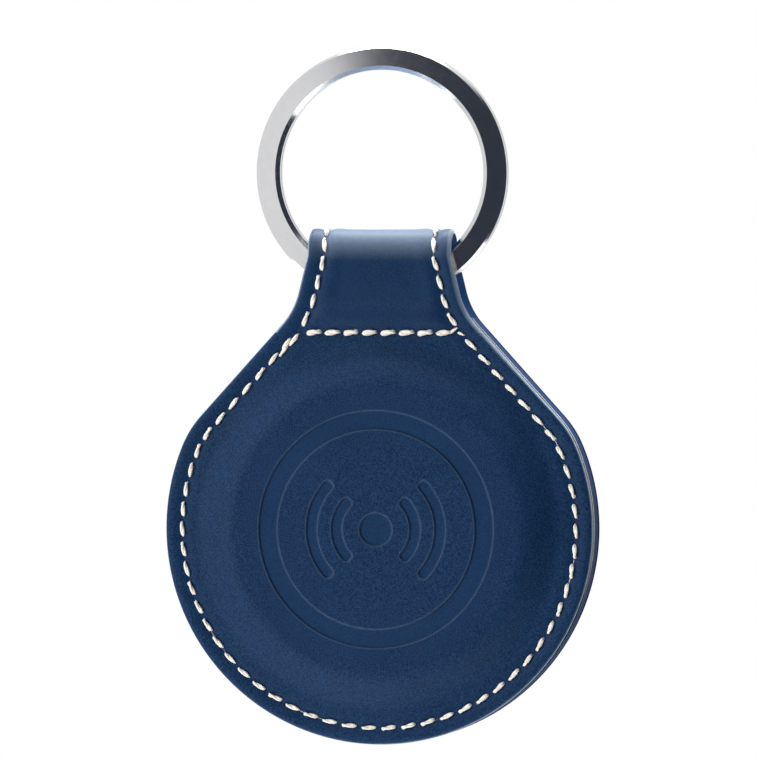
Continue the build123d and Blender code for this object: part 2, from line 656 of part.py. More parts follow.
# ------------------------------------------------------------------ circuit board and what is on its front
with BuildPart() as circuit_board:
    with BuildSketch(at_depth(BOARD_REAR_Y)):
        Circle(BOARD_R)
        with Locations(screw_spots):
            Circle(SCREW_R + SCREW_CLEARANCE, mode=Mode.SUBTRACT)
    extrude(amount=BOARD_THICKNESS)
circuit_board.part.label = "circuit_board"
export_step(circuit_board.part, "parts/circuit_board.step")

with BuildPart() as radio_chip:
    with BuildSketch(at_depth(BOARD_FRONT_Y)):
        with Locations((-10.6, 0)):
            Rectangle(5.0, 5.0)
    extrude(amount=0.85)
radio_chip.part.label = "radio_chip"
export_step(radio_chip.part, "parts/radio_chip.step")

with BuildPart() as main_crystal:
    with BuildSketch(at_depth(BOARD_FRONT_Y)):
        with Locations((-9.4, 5.2)):
            RectangleRounded(2.0, 1.6, 0.2)
    extrude(amount=0.6)
main_crystal.part.label = "main_crystal"
export_step(main_crystal.part, "parts/main_crystal.step")

with BuildPart() as sleep_crystal:
    with BuildSketch(at_depth(BOARD_FRONT_Y)):
        with Locations((-9.0, -5.0)):
            RectangleRounded(3.2, 1.5, 0.2)
    extrude(amount=0.8)
sleep_crystal.part.label = "sleep_crystal"
export_step(sleep_crystal.part, "parts/sleep_crystal.step")

with BuildPart() as chip_antenna:
    with BuildSketch(at_depth(BOARD_FRONT_Y)):
        with Locations((SCREW_CIRCLE_R, 0)):
            Rectangle(2.0, 5.2)
    extrude(amount=1.1)
chip_antenna.part.label = "chip_antenna"
export_step(chip_antenna.part, "parts/chip_antenna.step")

with BuildPart() as passive_components:
    with BuildSketch(at_depth(BOARD_FRONT_Y)):
        with Locations((-4.2, 9.2), (-4.2, -9.2), (7.6, 5.4)):
            with GridLocations(1.8, 1.1, 3, 2):
                Rectangle(1.0, 0.5)
    extrude(amount=0.5)
passive_components.part.label = "passive_components"
export_step(passive_components.part, "parts/passive_components.step")

# ------------------------------------------------------------------ cradle, screws and contacts
with BuildPart() as battery_cradle:
    with BuildSketch(at_depth(BOARD_REAR_Y)):
        Circle(CRADLE_OUTER_R)
        Circle(CRADLE_INNER_R, mode=Mode.SUBTRACT)
    extrude(amount=-CRADLE_HEIGHT)
    with BuildSketch(at_depth(BOARD_REAR_Y)):
        for i in range(SCREW_COUNT):
            foot_r = SCREW_CIRCLE_R + POST_R
            foot_angle = 90 + i * 360 / SCREW_COUNT
            add(sector(CRADLE_INNER_R + CRADLE_WALL / 2, foot_r, foot_angle, CRADLE_FOOT_ANGLE))
    extrude(amount=-CRADLE_FLANGE)
    with BuildSketch(at_depth(BOARD_REAR_Y)):
        with Locations(screw_spots):
            Circle(SCREW_R + SCREW_CLEARANCE)
        add(sector(CRADLE_INNER_R - CRADLE_WALL, CRADLE_OUTER_R + CRADLE_WALL, 180, CRADLE_GAP_ANGLE))
    extrude(amount=-CRADLE_HEIGHT, mode=Mode.SUBTRACT)
battery_cradle.part.label = "battery_cradle"
export_step(battery_cradle.part, "parts/battery_cradle.step")

screw_face_y = BOARD_REAR_Y + CRADLE_FLANGE
with BuildPart() as cradle_screws:
    with BuildSketch(at_depth(screw_face_y)):
        with Locations(screw_spots):
            Circle(SCREW_HEAD_R)
    extrude(amount=-SCREW_HEAD)
    with BuildSketch(at_depth(screw_face_y)):
        with Locations(screw_spots):
            Circle(SCREW_R)
    extrude(amount=screw_face_y - BOARD_FRONT_Y + PILOT_DEPTH - SCREW_CLEARANCE)
    with BuildSketch(at_depth(screw_face_y + SCREW_HEAD)):
        with Locations(screw_spots):
            Rectangle(SCREW_HEAD_R * 1.3, SCREW_R / 2)
            Rectangle(SCREW_R / 2, SCREW_HEAD_R * 1.3)
    extrude(amount=SCREW_HEAD / 2, mode=Mode.SUBTRACT)
cradle_screws.part.label = "cradle_screws"
export_step(cradle_screws.part, "parts/cradle_screws.step")

with BuildPart() as positive_contact:
    with BuildSketch(at_depth(BOARD_REAR_Y)):
        add(sector(CELL_R + STEP, CELL_R + STEP + CONTACT_SHEET, 180, CRADLE_GAP_ANGLE * 0.7))
    extrude(amount=-CRADLE_HEIGHT)
    with BuildSketch(at_depth(BOARD_REAR_Y)):
        with Locations((-CELL_R - CONTACT_SHEET / 2, 0)):
            Rectangle(2.0, 2.4, align=(Align.MAX, Align.CENTER))
    extrude(amount=-CONTACT_SHEET)
positive_contact.part.label = "positive_contact"
export_step(positive_contact.part, "parts/positive_contact.step")

leaf_rise = CELL_FRONT_Y - STEP
with BuildPart() as negative_contact:
    with BuildSketch(Plane.XY.offset(CENTRE_Z)):
        with BuildLine():
            Polyline(
                (-5.0, BOARD_REAR_Y),
                (-3.0, BOARD_REAR_Y),
                (1.5, leaf_rise - CONTACT_SHEET),
                (3.0, leaf_rise - CONTACT_SHEET),
                (3.0, leaf_rise),
                (1.4, leaf_rise),
                (-3.1, BOARD_REAR_Y + CONTACT_SHEET),
                (-5.0, BOARD_REAR_Y + CONTACT_SHEET),
                close=True,
            )
        make_face()
    extrude(amount=1.4, both=True)
negative_contact.part.label = "negative_contact"
export_step(negative_contact.part, "parts/negative_contact.step")

# ------------------------------------------------------------------ sounder and status light
with BuildPart() as buzzer_case:
    with BuildSketch(at_depth(BOARD_REAR_Y)):
        with Locations(spot(BUZZER_R, BUZZER_ANGLE)):
            Rectangle(BUZZER_SIDE, BUZZER_SIDE)
    extrude(amount=-BUZZER_HEIGHT)
    with BuildSketch(at_depth(BOARD_REAR_Y + BUZZER_WALL)):
        with Locations(spot(BUZZER_R, BUZZER_ANGLE)):
            Circle(BUZZER_SIDE / 2 - BUZZER_WALL)
    extrude(amount=2 * BUZZER_WALL - BUZZER_HEIGHT, mode=Mode.SUBTRACT)
    with BuildSketch(at_depth(BOARD_REAR_Y + BUZZER_HEIGHT)):
        with Locations(spot(BUZZER_R, BUZZER_ANGLE)):
            Circle(PORT_HOLE_R * 2)
    extrude(amount=BUZZER_WALL + STEP, mode=Mode.SUBTRACT)
buzzer_case.part.label = "buzzer_case"
export_step(buzzer_case.part, "parts/buzzer_case.step")

with BuildPart() as buzzer_diaphragm:
    with BuildSketch(at_depth(BOARD_REAR_Y + BUZZER_HEIGHT / 2)):
        with Locations(spot(BUZZER_R, BUZZER_ANGLE)):
            Circle(BUZZER_SIDE / 2 - BUZZER_WALL)
    extrude(amount=-MESH)
buzzer_diaphragm.part.label = "buzzer_diaphragm"
export_step(buzzer_diaphragm.part, "parts/buzzer_diaphragm.step")

with BuildPart() as status_led:
    with BuildSketch(at_depth(BOARD_REAR_Y)):
        with Locations(spot(CHANNEL_R, LED_ANGLE)):
            Rectangle(1.6, 0.8)
    extrude(amount=-LED_HEIGHT)
status_led.part.label = "status_led"
export_step(status_led.part, "parts/status_led.step")

with BuildPart() as light_pipe:
    with BuildSketch(at_depth(BOSS_Y)):
        with Locations(spot(CHANNEL_R, LED_ANGLE)):
            Circle(PIPE_R)
    extrude(amount=BOSS_Y - BOARD_REAR_Y - LED_HEIGHT - RUNNING_GAP)
light_pipe.part.label = "light_pipe"
export_step(light_pipe.part, "parts/light_pipe.step")

# ------------------------------------------------------------------ button and switch
with BuildPart() as button_cap:
    with BuildSketch(at_depth(FLANGE_REAR_Y)):
        Circle(BUTTON_R + BUTTON_FLANGE)
    extrude(amount=BUTTON_FLANGE_THICKNESS)
    with BuildSketch(at_depth(FLANGE_REAR_Y)):
        Circle(BUTTON_R)
    extrude(amount=FLANGE_REAR_Y + PUCK_HALF)
    with BuildSketch(at_depth(STEM_END_Y)):
        Circle(PLUNGER_R)
    extrude(amount=STEM_END_Y + PUCK_HALF)
button_cap.part.label = "button_cap"
export_step(button_cap.part, "parts/button_cap.step")

with BuildPart() as switch_base:
    with BuildSketch(at_depth(BOARD_FRONT_Y)):
        RectangleRounded(SWITCH_SIDE, SWITCH_SIDE, SWITCH_SIDE / 8)
    extrude(amount=SWITCH_BODY)
    with BuildSketch(at_depth(SWITCH_FRONT_Y)):
        Circle(PLUNGER_R + RUNNING_GAP)
    extrude(amount=-(BUTTON_TRAVEL + RUNNING_GAP * 2), mode=Mode.SUBTRACT)
switch_base.part.label = "switch_base"
export_step(switch_base.part, "parts/switch_base.step")

with BuildPart() as switch_plunger:
    with BuildSketch(at_depth(SWITCH_FRONT_Y)):
        Circle(PLUNGER_R)
    extrude(amount=PLUNGER_HEIGHT)
    fillet(switch_plunger.faces().sort_by(Axis.Y)[0].edges(), PLUNGER_R / 4)
switch_plunger.part.label = "switch_plunger"
export_step(switch_plunger.part, "parts/switch_plunger.step")
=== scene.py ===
"""Leather key fob with a round radio tracker sewn inside, hanging from a flat split ring.

Lengths are in metres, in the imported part's own frame: +Z up, the debossed front towards -Y, and the
origin inside the ring's top. Heights on the leather are measured up from the centre of its round panels.
"""

import logging
import math
from dataclasses import dataclass
from enum import Enum
from typing import Callable, Iterable, Sequence

import bmesh
import bpy
from bmesh.types import BMesh
from bpy.types import Material, Object
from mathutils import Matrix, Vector, noise

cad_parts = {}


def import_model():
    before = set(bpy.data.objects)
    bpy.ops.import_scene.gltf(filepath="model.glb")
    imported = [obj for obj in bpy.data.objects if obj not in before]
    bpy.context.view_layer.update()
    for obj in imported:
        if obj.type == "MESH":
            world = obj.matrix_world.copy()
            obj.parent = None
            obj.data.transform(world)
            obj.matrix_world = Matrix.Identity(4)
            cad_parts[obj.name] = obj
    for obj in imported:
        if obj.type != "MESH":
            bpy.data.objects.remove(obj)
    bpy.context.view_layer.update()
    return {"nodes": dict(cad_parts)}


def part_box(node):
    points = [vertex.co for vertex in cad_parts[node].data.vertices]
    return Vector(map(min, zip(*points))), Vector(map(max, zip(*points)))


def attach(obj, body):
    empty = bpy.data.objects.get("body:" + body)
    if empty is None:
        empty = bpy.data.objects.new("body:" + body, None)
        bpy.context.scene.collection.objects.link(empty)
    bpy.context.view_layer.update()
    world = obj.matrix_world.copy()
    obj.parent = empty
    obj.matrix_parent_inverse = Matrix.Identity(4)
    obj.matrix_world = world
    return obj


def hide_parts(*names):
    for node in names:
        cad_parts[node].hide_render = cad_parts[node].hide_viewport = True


MM = 0.001
CASE, RING = "case", "key_ring"
log = logging.getLogger("fob")

Point = tuple[float, float]
Colour = tuple[float, float, float]
Place = tuple[float, float, float]


class Side(Enum):
    """The two faces of the fob, each with the sign of its outward direction along Y."""

    FRONT = -1
    REAR = 1


class Slot(Enum):
    """Material slots of the leather: its grain, its flesh side and its cut edge."""

    GRAIN = 0
    FLESH = 1
    CUT = 2


# ---- shader maths
class Sock:
    """A shader socket that adds a Math node for each operator used on it."""

    def __init__(self, tree: "Nodes", socket: bpy.types.NodeSocket) -> None:
        """Wraps an output socket of the tree."""
        self.tree = tree
        self.socket = socket

    def _math(self, operation: str, *values: "Sock | float", clamp: bool = False) -> "Sock":
        """Adds one Math node over the values, in order, and returns its result."""
        inputs = dict(enumerate(values))
        return self.tree.add("ShaderNodeMath", {"operation": operation, "use_clamp": clamp}, inputs)

    def __add__(self, other: "Sock | float") -> "Sock":
        """Adds."""
        return self._math("ADD", self, other)

    __radd__ = __add__

    def __sub__(self, other: "Sock | float") -> "Sock":
        """Subtracts."""
        return self._math("SUBTRACT", self, other)

    def __rsub__(self, other: float) -> "Sock":
        """Subtracts from a number."""
        return self._math("SUBTRACT", other, self)

    def __mul__(self, other: "Sock | float") -> "Sock":
        """Multiplies."""
        return self._math("MULTIPLY", self, other)

    __rmul__ = __mul__

    def __pow__(self, other: float) -> "Sock":
        """Raises to a power."""
        return self._math("POWER", self, other)

    def clamped(self) -> "Sock":
        """Keeps the value between 0 and 1."""
        return self._math("ADD", self, 0.0, clamp=True)

    def smooth(self, low: float, high: float) -> "Sock":
        """Turns the value into a smooth step.

        Args:
            low: Where the step starts, at 0.
            high: Where it ends, at 1.

        Returns:
            The step, from 0 to 1.
        """
        settings = {"interpolation_type": "SMOOTHSTEP"}
        inputs = {"Value": self, "From Min": low, "From Max": high}
        return self.tree.add("ShaderNodeMapRange", settings, inputs)


class Nodes:
    """A node tree, with one method that adds nodes to it."""

    def __init__(self, tree: bpy.types.NodeTree) -> None:
        """Wraps a material's or a world's tree."""
        self.nodes = tree.nodes
        self.links = tree.links

    def add(
        self, kind: str, settings: dict | None = None, inputs: dict | None = None, out: str | int = 0
    ) -> Sock:
        """Adds a node, with its settings made before its sockets are filled.

        Args:
            kind: The node's type.
            settings: Its properties by name.
            inputs: Values or links by socket name or number.
            out: The output that is returned.

        Returns:
            That output.
        """
        node = self.nodes.new(kind)
        for name, value in (settings or {}).items():
            setattr(node, name, value)
        for name, value in (inputs or {}).items():
            self.fill(node.inputs[name], value)
        return Sock(self, node.outputs[out])

    def fill(self, socket: bpy.types.NodeSocket, value: "Sock | float | Sequence[float]") -> None:
        """Links a socket, or sets its own value.

        Args:
            socket: The input.
            value: What it reads.
        """
        if isinstance(value, Sock):
            self.links.new(value.socket, socket)
        elif socket.type == "RGBA" and len(value) == 3:
            socket.default_value = (*value, 1.0)
        else:
            socket.default_value = value

    def mix(self, factor: "Sock | float", low: "Sock | Colour", high: "Sock | Colour") -> Sock:
        """Mixes two colours: the low one at 0, the high one at 1."""
        return self.add("ShaderNodeMix", {"data_type": "RGBA"}, {"Factor": factor, 6: low, 7: high}, 2)


class Shader(Nodes):
    """One material's node tree, with its Principled shader."""

    def __init__(self, name: str) -> None:
        """Starts a material.

        Args:
            name: The material's name.
        """
        self.material = bpy.data.materials.new(name)
        self.material.use_nodes = True
        super().__init__(self.material.node_tree)
        self.surface = self.nodes["Principled BSDF"]
        self.place = self.add("ShaderNodeTexCoord", out="Object")

    def noise(
        self, size: float, detail: float = 2.0, stretch: Place = (1, 1, 1), roughness: float = 0.5
    ) -> Sock:
        """Smooth noise over the piece.

        Args:
            size: The size of its features.
            detail: Octaves.
            stretch: How much longer the features are along each axis.
            roughness: How strong the finer octaves are.

        Returns:
            Its factor, from 0 to 1.
        """
        scale = [1 / s for s in stretch]
        at = self.add("ShaderNodeMapping", inputs={"Vector": self.place, "Scale": scale})
        values = {"Vector": at, "Scale": 1 / size, "Detail": detail, "Roughness": roughness}
        return self.add("ShaderNodeTexNoise", inputs=values)

    def cells(self, size: float, feature: str = "F1") -> Sock:
        """Distance to the nearest of scattered points that far apart, as in pores, or to a cell's edge."""
        inputs = {"Vector": self.place, "Scale": 1 / size}
        return self.add("ShaderNodeTexVoronoi", {"feature": feature}, inputs, "Distance")

    def axis(self, letter: str) -> Sock:
        """The place along one axis, in metres."""
        return self.add("ShaderNodeSeparateXYZ", inputs={0: self.place}, out=letter)

    def attribute(self, name: str) -> Sock:
        """A number stored on the mesh's points."""
        return self.add("ShaderNodeAttribute", {"attribute_name": name}, out="Fac")

    def bump(self, height: Sock, depth: float, under: Sock | None = None, strength: float = 1.0) -> Sock:
        """Turns a height into a normal.

        Args:
            height: From 0 to 1.
            depth: How deep it is, in metres.
            under: A normal that this one is laid over.
            strength: The Bump node's strength.

        Returns:
            The normal.
        """
        values = {"Height": height, "Distance": depth, "Strength": strength}
        if under:
            values["Normal"] = under
        return self.add("ShaderNodeBump", inputs=values)

    def finish(self, **sockets: "Sock | float | Sequence[float]") -> Material:
        """Fills the Principled shader.

        Args:
            **sockets: Values or links, by socket name with spaces as underscores.

        Returns:
            The material.
        """
        for name, value in sockets.items():
            self.fill(self.surface.inputs[name.replace("_", " ")], value)
        return self.material


# ---- finishes
@dataclass(frozen=True)
class GrainLeather:
    """Fine-grained dyed leather, smoother where pressed or taut, with wear at the rim and painted
    highlights: pale at the top of the fold, along the mark's edges and along the right front edge.
    """

    deep: Colour = (0.001, 0.0105, 0.039)
    light: Colour = (0.0098, 0.041, 0.106)
    speck: Colour = (0.03, 0.085, 0.17)
    # Pale blue-grey for the rim's wear and for the painted highlights on the fold, the mark's edges and
    # the right front edge.
    wear_and_highlight: Colour = (0.24, 0.31, 0.4)
    cloud_size: float = 9 * MM
    fibre_size: float = 0.7 * MM
    fine_size: float = 0.13 * MM
    dimple_size: float = 2.6 * MM
    pore: float = 0.3 * MM
    seam_z: float = -31.3 * MM
    # Heights and half widths of the painted highlight over the top of the fold.
    fold_low_z: float = -22.9 * MM
    fold_high_z: float = -20.2 * MM
    inner_half: float = 6.0 * MM
    outer_half: float = 7.6 * MM

    def make(self) -> Material:
        """Makes the material.

        Returns:
            The material.
        """
        s = Shader("navy_leather")
        cloud = s.noise(self.cloud_size, 3)
        fibre = s.noise(self.fibre_size, 4, roughness=0.7)
        fine = s.noise(self.fine_size, 2, roughness=0.6)
        grain = s.cells(self.pore)
        pressed = s.attribute("pressed")
        edge = s.attribute("edge")
        high = s.axis("Z")
        taut = high.smooth(self.seam_z - 0.4 * MM, self.seam_z + 0.6 * MM)
        across = s.axis("X")
        inner = 1 - (across * across).smooth(self.inner_half**2, self.outer_half**2)
        # Painted highlight: paler leather over the top of the fold, strongest in the middle of the neck.
        fold_highlight = high.smooth(self.fold_low_z, self.fold_high_z) * (0.4 + inner * 0.6)
        contrast = (1 - pressed * 0.55) * (1 - taut * 0.5)
        grit = ((fibre - 0.5) * 0.35 + (fine - 0.5) * 4.0) * contrast
        tone = 0.5 + pressed * 0.1 + (cloud - 0.5) * 0.35 + grit
        colour = s.mix(tone.clamped(), self.deep, self.light)
        colour = s.mix((fine * 0.5 + fibre * 0.5).smooth(0.58, 0.78) * contrast * 0.5, colour, self.speck)
        colour = s.mix(fold_highlight * (0.26 + fibre * 0.16), colour, self.wear_and_highlight)
        # The edge attribute carries the rim's wear together with the painted highlights along the mark's
        # edges and the right front edge.
        colour = s.mix((edge * (0.4 + fibre * 0.8)).clamped(), colour, self.wear_and_highlight)
        height = (grain * 0.5 + fine * 0.5) * (1 - pressed * 0.75) * (1 - taut * 0.4)
        soft = s.bump(s.noise(self.dimple_size, 2), 0.04 * MM, strength=0.5)
        rough = 0.54 + (fibre - 0.5) * 0.2 - pressed * 0.08 - taut * 0.04
        normal = s.bump(height, 0.03 * MM, soft, 0.5)
        return s.finish(Base_Color=colour, Roughness=rough, Normal=normal, Specular_IOR_Level=0.1)


@dataclass(frozen=True)
class FleshSide:
    """The leather's napped inner side."""

    low: Colour = (0.01, 0.02, 0.045)
    high: Colour = (0.03, 0.05, 0.1)
    nap_size: float = 0.4 * MM

    def make(self) -> Material:
        """Makes the material.

        Returns:
            The material.
        """
        s = Shader("leather_flesh_side")
        nap = s.noise(self.nap_size, 5, roughness=0.7)
        colour = s.mix(nap, self.low, self.high)
        return s.finish(Base_Color=colour, Roughness=0.95, Normal=s.bump(nap, 0.08 * MM))


@dataclass(frozen=True)
class CutEdge:
    """A sanded and sealed cut edge: bare taupe near the front, with painted shade that turns it navy
    behind and at the bottom.
    """

    name: str
    taupe: Colour = (0.2, 0.195, 0.19)
    pale: Colour = (0.42, 0.41, 0.39)
    # Painted shade: the navy that the edge takes behind and at the bottom.
    shade_navy: Colour = (0.005, 0.022, 0.07)
    speck: Colour = (0.012, 0.065, 0.2)
    fibre_size: float = 0.22 * MM
    blotch_size: float = 1.6 * MM
    border: float = 1.2 * MM
    uneven: float = 0.35 * MM
    fade: float = 0.12 * MM
    # Below these heights the front edge takes the painted shade too.
    shade_full_z: float = -65 * MM
    shade_end_z: float = -57 * MM

    def make(self) -> Material:
        """Makes the material.

        Returns:
            The material.
        """
        s = Shader(self.name)
        fibre = s.noise(self.fibre_size, 4, (1, 0.5, 1), 0.7)
        blotch = s.noise(self.blotch_size, 3)
        front = s.mix((fibre * 0.7 + blotch * 0.5).smooth(0.35, 0.85), self.taupe, self.pale)
        # Painted shade for the edge behind the middle and at the bottom.
        rear = s.mix(fibre.smooth(0.52, 0.78), self.shade_navy, self.speck)
        front = s.mix(s.axis("Z").smooth(self.shade_full_z, self.shade_end_z), rear, front)
        depth = s.axis("Y") + self.border + (blotch - 0.5) * self.uneven
        where = depth.smooth(-self.fade, self.fade)
        return s.finish(
            Base_Color=s.mix(where, front, rear), Roughness=0.55 + fibre * 0.3,
            Normal=s.bump(fibre * 0.6 + blotch * 0.4, 0.07 * MM, strength=0.8),
            Specular_IOR_Level=0.05,
        )


@dataclass(frozen=True)
class WaxedThread:
    """Cream polyester thread with a light wax."""

    shade: Colour = (0.56, 0.5, 0.41)
    body: Colour = (0.9, 0.87, 0.79)
    fibre_size: float = 0.07 * MM
    soil_size: float = 3.5 * MM

    def make(self) -> Material:
        """Makes the material.

        Returns:
            The material.
        """
        s = Shader("cream_thread")
        fibre = s.noise(self.fibre_size, 3, roughness=0.6)
        soil = s.noise(self.soil_size, 2)
        tone = (fibre * 0.8 + soil * 0.4).smooth(0.25, 0.75)
        return s.finish(
            Base_Color=s.mix(tone, self.shade, self.body), Roughness=0.6,
            Normal=s.bump(fibre, 0.02 * MM), Sheen_Weight=0.2, Sheen_Roughness=0.4,
        )


@dataclass(frozen=True)
class PolishedSteel:
    """Nickel-plated steel, polished round the ring, with hairline scuffs."""

    bright: Colour = (0.76, 0.76, 0.76)
    dull: Colour = (0.68, 0.682, 0.69)
    ring_drop: float = 12.2 * MM
    line_size: float = 0.05 * MM
    wear_size: float = 1.1 * MM

    def make(self) -> Material:
        """Makes the material.

        Returns:
            The material.
        """
        s = Shader("ring_steel")
        x, z = s.axis("X"), s.axis("Z") + self.ring_drop
        radius = (x * x + z * z) ** 0.5
        inputs = {"W": radius, "Scale": 1 / self.line_size, "Detail": 3.0}
        line = s.add("ShaderNodeTexNoise", {"noise_dimensions": "1D"}, inputs)
        wear = s.noise(self.wear_size, 4)
        tone = (line * 0.6 + wear * 0.4).smooth(0.25, 0.75)
        return s.finish(
            Base_Color=s.mix(tone, self.dull, self.bright), Metallic=1.0,
            Roughness=0.12 + tone * 0.04, Normal=s.bump(line, 0.0004 * MM, strength=0.3),
        )


@dataclass(frozen=True)
class SparkPlastic:
    """Moulded plastic with a spark-eroded texture."""

    name: str
    colour: Colour
    depth: float = 0.012 * MM
    gloss: float = 0.42
    spark_size: float = 0.09 * MM
    flow_size: float = 6 * MM

    def make(self) -> Material:
        """Makes the material.

        Returns:
            The material.
        """
        s = Shader(self.name)
        spark = s.noise(self.spark_size, 2)
        flow = s.noise(self.flow_size, 2)
        dark = tuple(c * 0.9 for c in self.colour)
        return s.finish(
            Base_Color=s.mix(flow * 0.6 + spark * 0.4, dark, self.colour),
            Roughness=self.gloss + (spark - 0.5) * 0.2, Normal=s.bump(spark, self.depth),
        )


@dataclass(frozen=True)
class DrawnMetal:
    """Rolled or stamped metal with a fine one-way grain."""

    name: str
    colour: Colour
    roughness: float = 0.3
    line_size: float = 0.05 * MM
    spot_size: float = 1.5 * MM

    def make(self) -> Material:
        """Makes the material.

        Returns:
            The material.
        """
        s = Shader(self.name)
        line = s.noise(self.line_size, 3, (30, 1, 1))
        spot = s.noise(self.spot_size, 3)
        dark = tuple(c * 0.82 for c in self.colour)
        return s.finish(
            Base_Color=s.mix((line + spot) * 0.5, dark, self.colour), Metallic=1.0,
            Roughness=self.roughness + (line - 0.5) * 0.15, Normal=s.bump(line, 0.002 * MM),
        )


@dataclass(frozen=True)
class BoardMask:
    """Solder mask over copper tracks."""

    mask: Colour = (0.01, 0.09, 0.045)
    track: Colour = (0.02, 0.16, 0.07)

    def make(self) -> Material:
        """Makes the material.

        Returns:
            The material.
        """
        s = Shader("board_mask")
        path = s.cells(1.1 * MM, "DISTANCE_TO_EDGE")
        weave = s.noise(0.3 * MM, 2)
        on = path.smooth(0.1, 0.16)
        return s.finish(
            Base_Color=s.mix(on, self.track, self.mask), Roughness=0.32 + weave * 0.15,
            Normal=s.bump(1 - on, 0.02 * MM),
        )


@dataclass(frozen=True)
class ClearPlastic:
    """Frosted clear acrylic of the light pipe."""

    def make(self) -> Material:
        """Makes the material.

        Returns:
            The material.
        """
        s = Shader("clear_pipe")
        frost = s.noise(0.2 * MM, 2)
        return s.finish(
            Base_Color=s.mix(frost, (0.8, 0.84, 0.88), (0.92, 0.95, 0.97)), Roughness=0.15 + frost * 0.2,
            Transmission_Weight=0.6, IOR=1.49,
        )


# ---- helpers
def blend(low: float, high: float, t: float) -> float:
    """Smooth step from 0 at low to 1 at high."""
    t = min(1.0, max(0.0, (t - low) / (high - low)))
    return t * t * (3 - 2 * t)


def spread(low: float, high: float, count: int) -> list[float]:
    """Evenly spaced values, with both ends."""
    return [low + (high - low) * i / (count - 1) for i in range(count)]


def piece(name: str, bm: BMesh, body: str, materials: Iterable[Material], *nodes: str) -> Object:
    """Turns a bmesh into a finished piece that rides on a body.

    Args:
        name: The piece's name.
        bm: Its shape, which is freed.
        body: The body that it moves with.
        materials: Its materials, in slot order.
        *nodes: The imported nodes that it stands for.

    Returns:
        The piece's object.
    """
    mesh = bpy.data.meshes.new(name)
    bm.to_mesh(mesh)
    bm.free()
    mesh.shade_smooth()
    obj = bpy.data.objects.new(name, mesh)
    bpy.context.scene.collection.objects.link(obj)
    for material in materials:
        mesh.materials.append(material)
    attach(obj, body)
    if nodes:
        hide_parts(*nodes)
    log.info("%s: %d faces, rides on %s", name, len(mesh.polygons), body)
    return obj


def warped_grid(bm: BMesh, columns: int, rows: int, at: Callable[[int, int], Vector]) -> None:
    """Adds a grid and moves each of its points to a place of its own.

    Args:
        bm: Where the grid goes.
        columns: How many points it has across.
        rows: How many points it has along.
        at: Gives the place of the point in a column and a row.
    """
    grid = bmesh.ops.create_grid(bm, x_segments=columns - 1, y_segments=rows - 1, size=1.0)
    for vert in grid["verts"]:
        column = round((vert.co.x + 1) / 2 * (columns - 1))
        row = round((vert.co.y + 1) / 2 * (rows - 1))
        vert.co = at(column, row)


def sweep(bm: BMesh, rings: Sequence[Sequence[Vector]]) -> None:
    """Extrudes a closed loop from ring to ring, and caps its ends.

    Args:
        bm: Where the tube goes.
        rings: The loop's points at each station, as many in each.
    """
    loop = bmesh.ops.create_circle(bm, segments=len(rings[0]), radius=1.0)["verts"]
    for vert, place in zip(loop, rings[0]):
        vert.co = place
    first = list(loop)
    for ring in rings[1:]:
        edges = [bm.edges.get((a, b)) for a, b in zip(loop, loop[1:] + loop[:1])]
        grown = bmesh.ops.extrude_edge_only(bm, edges=edges)["geom"]
        fresh = {v for v in grown if isinstance(v, bmesh.types.BMVert)}
        loop = [next(e.other_vert(v) for e in v.link_edges if e.other_vert(v) in fresh) for v in loop]
        for vert, place in zip(loop, ring):
            vert.co = place
    bmesh.ops.contextual_create(bm, geom=first)
    bmesh.ops.contextual_create(bm, geom=loop)


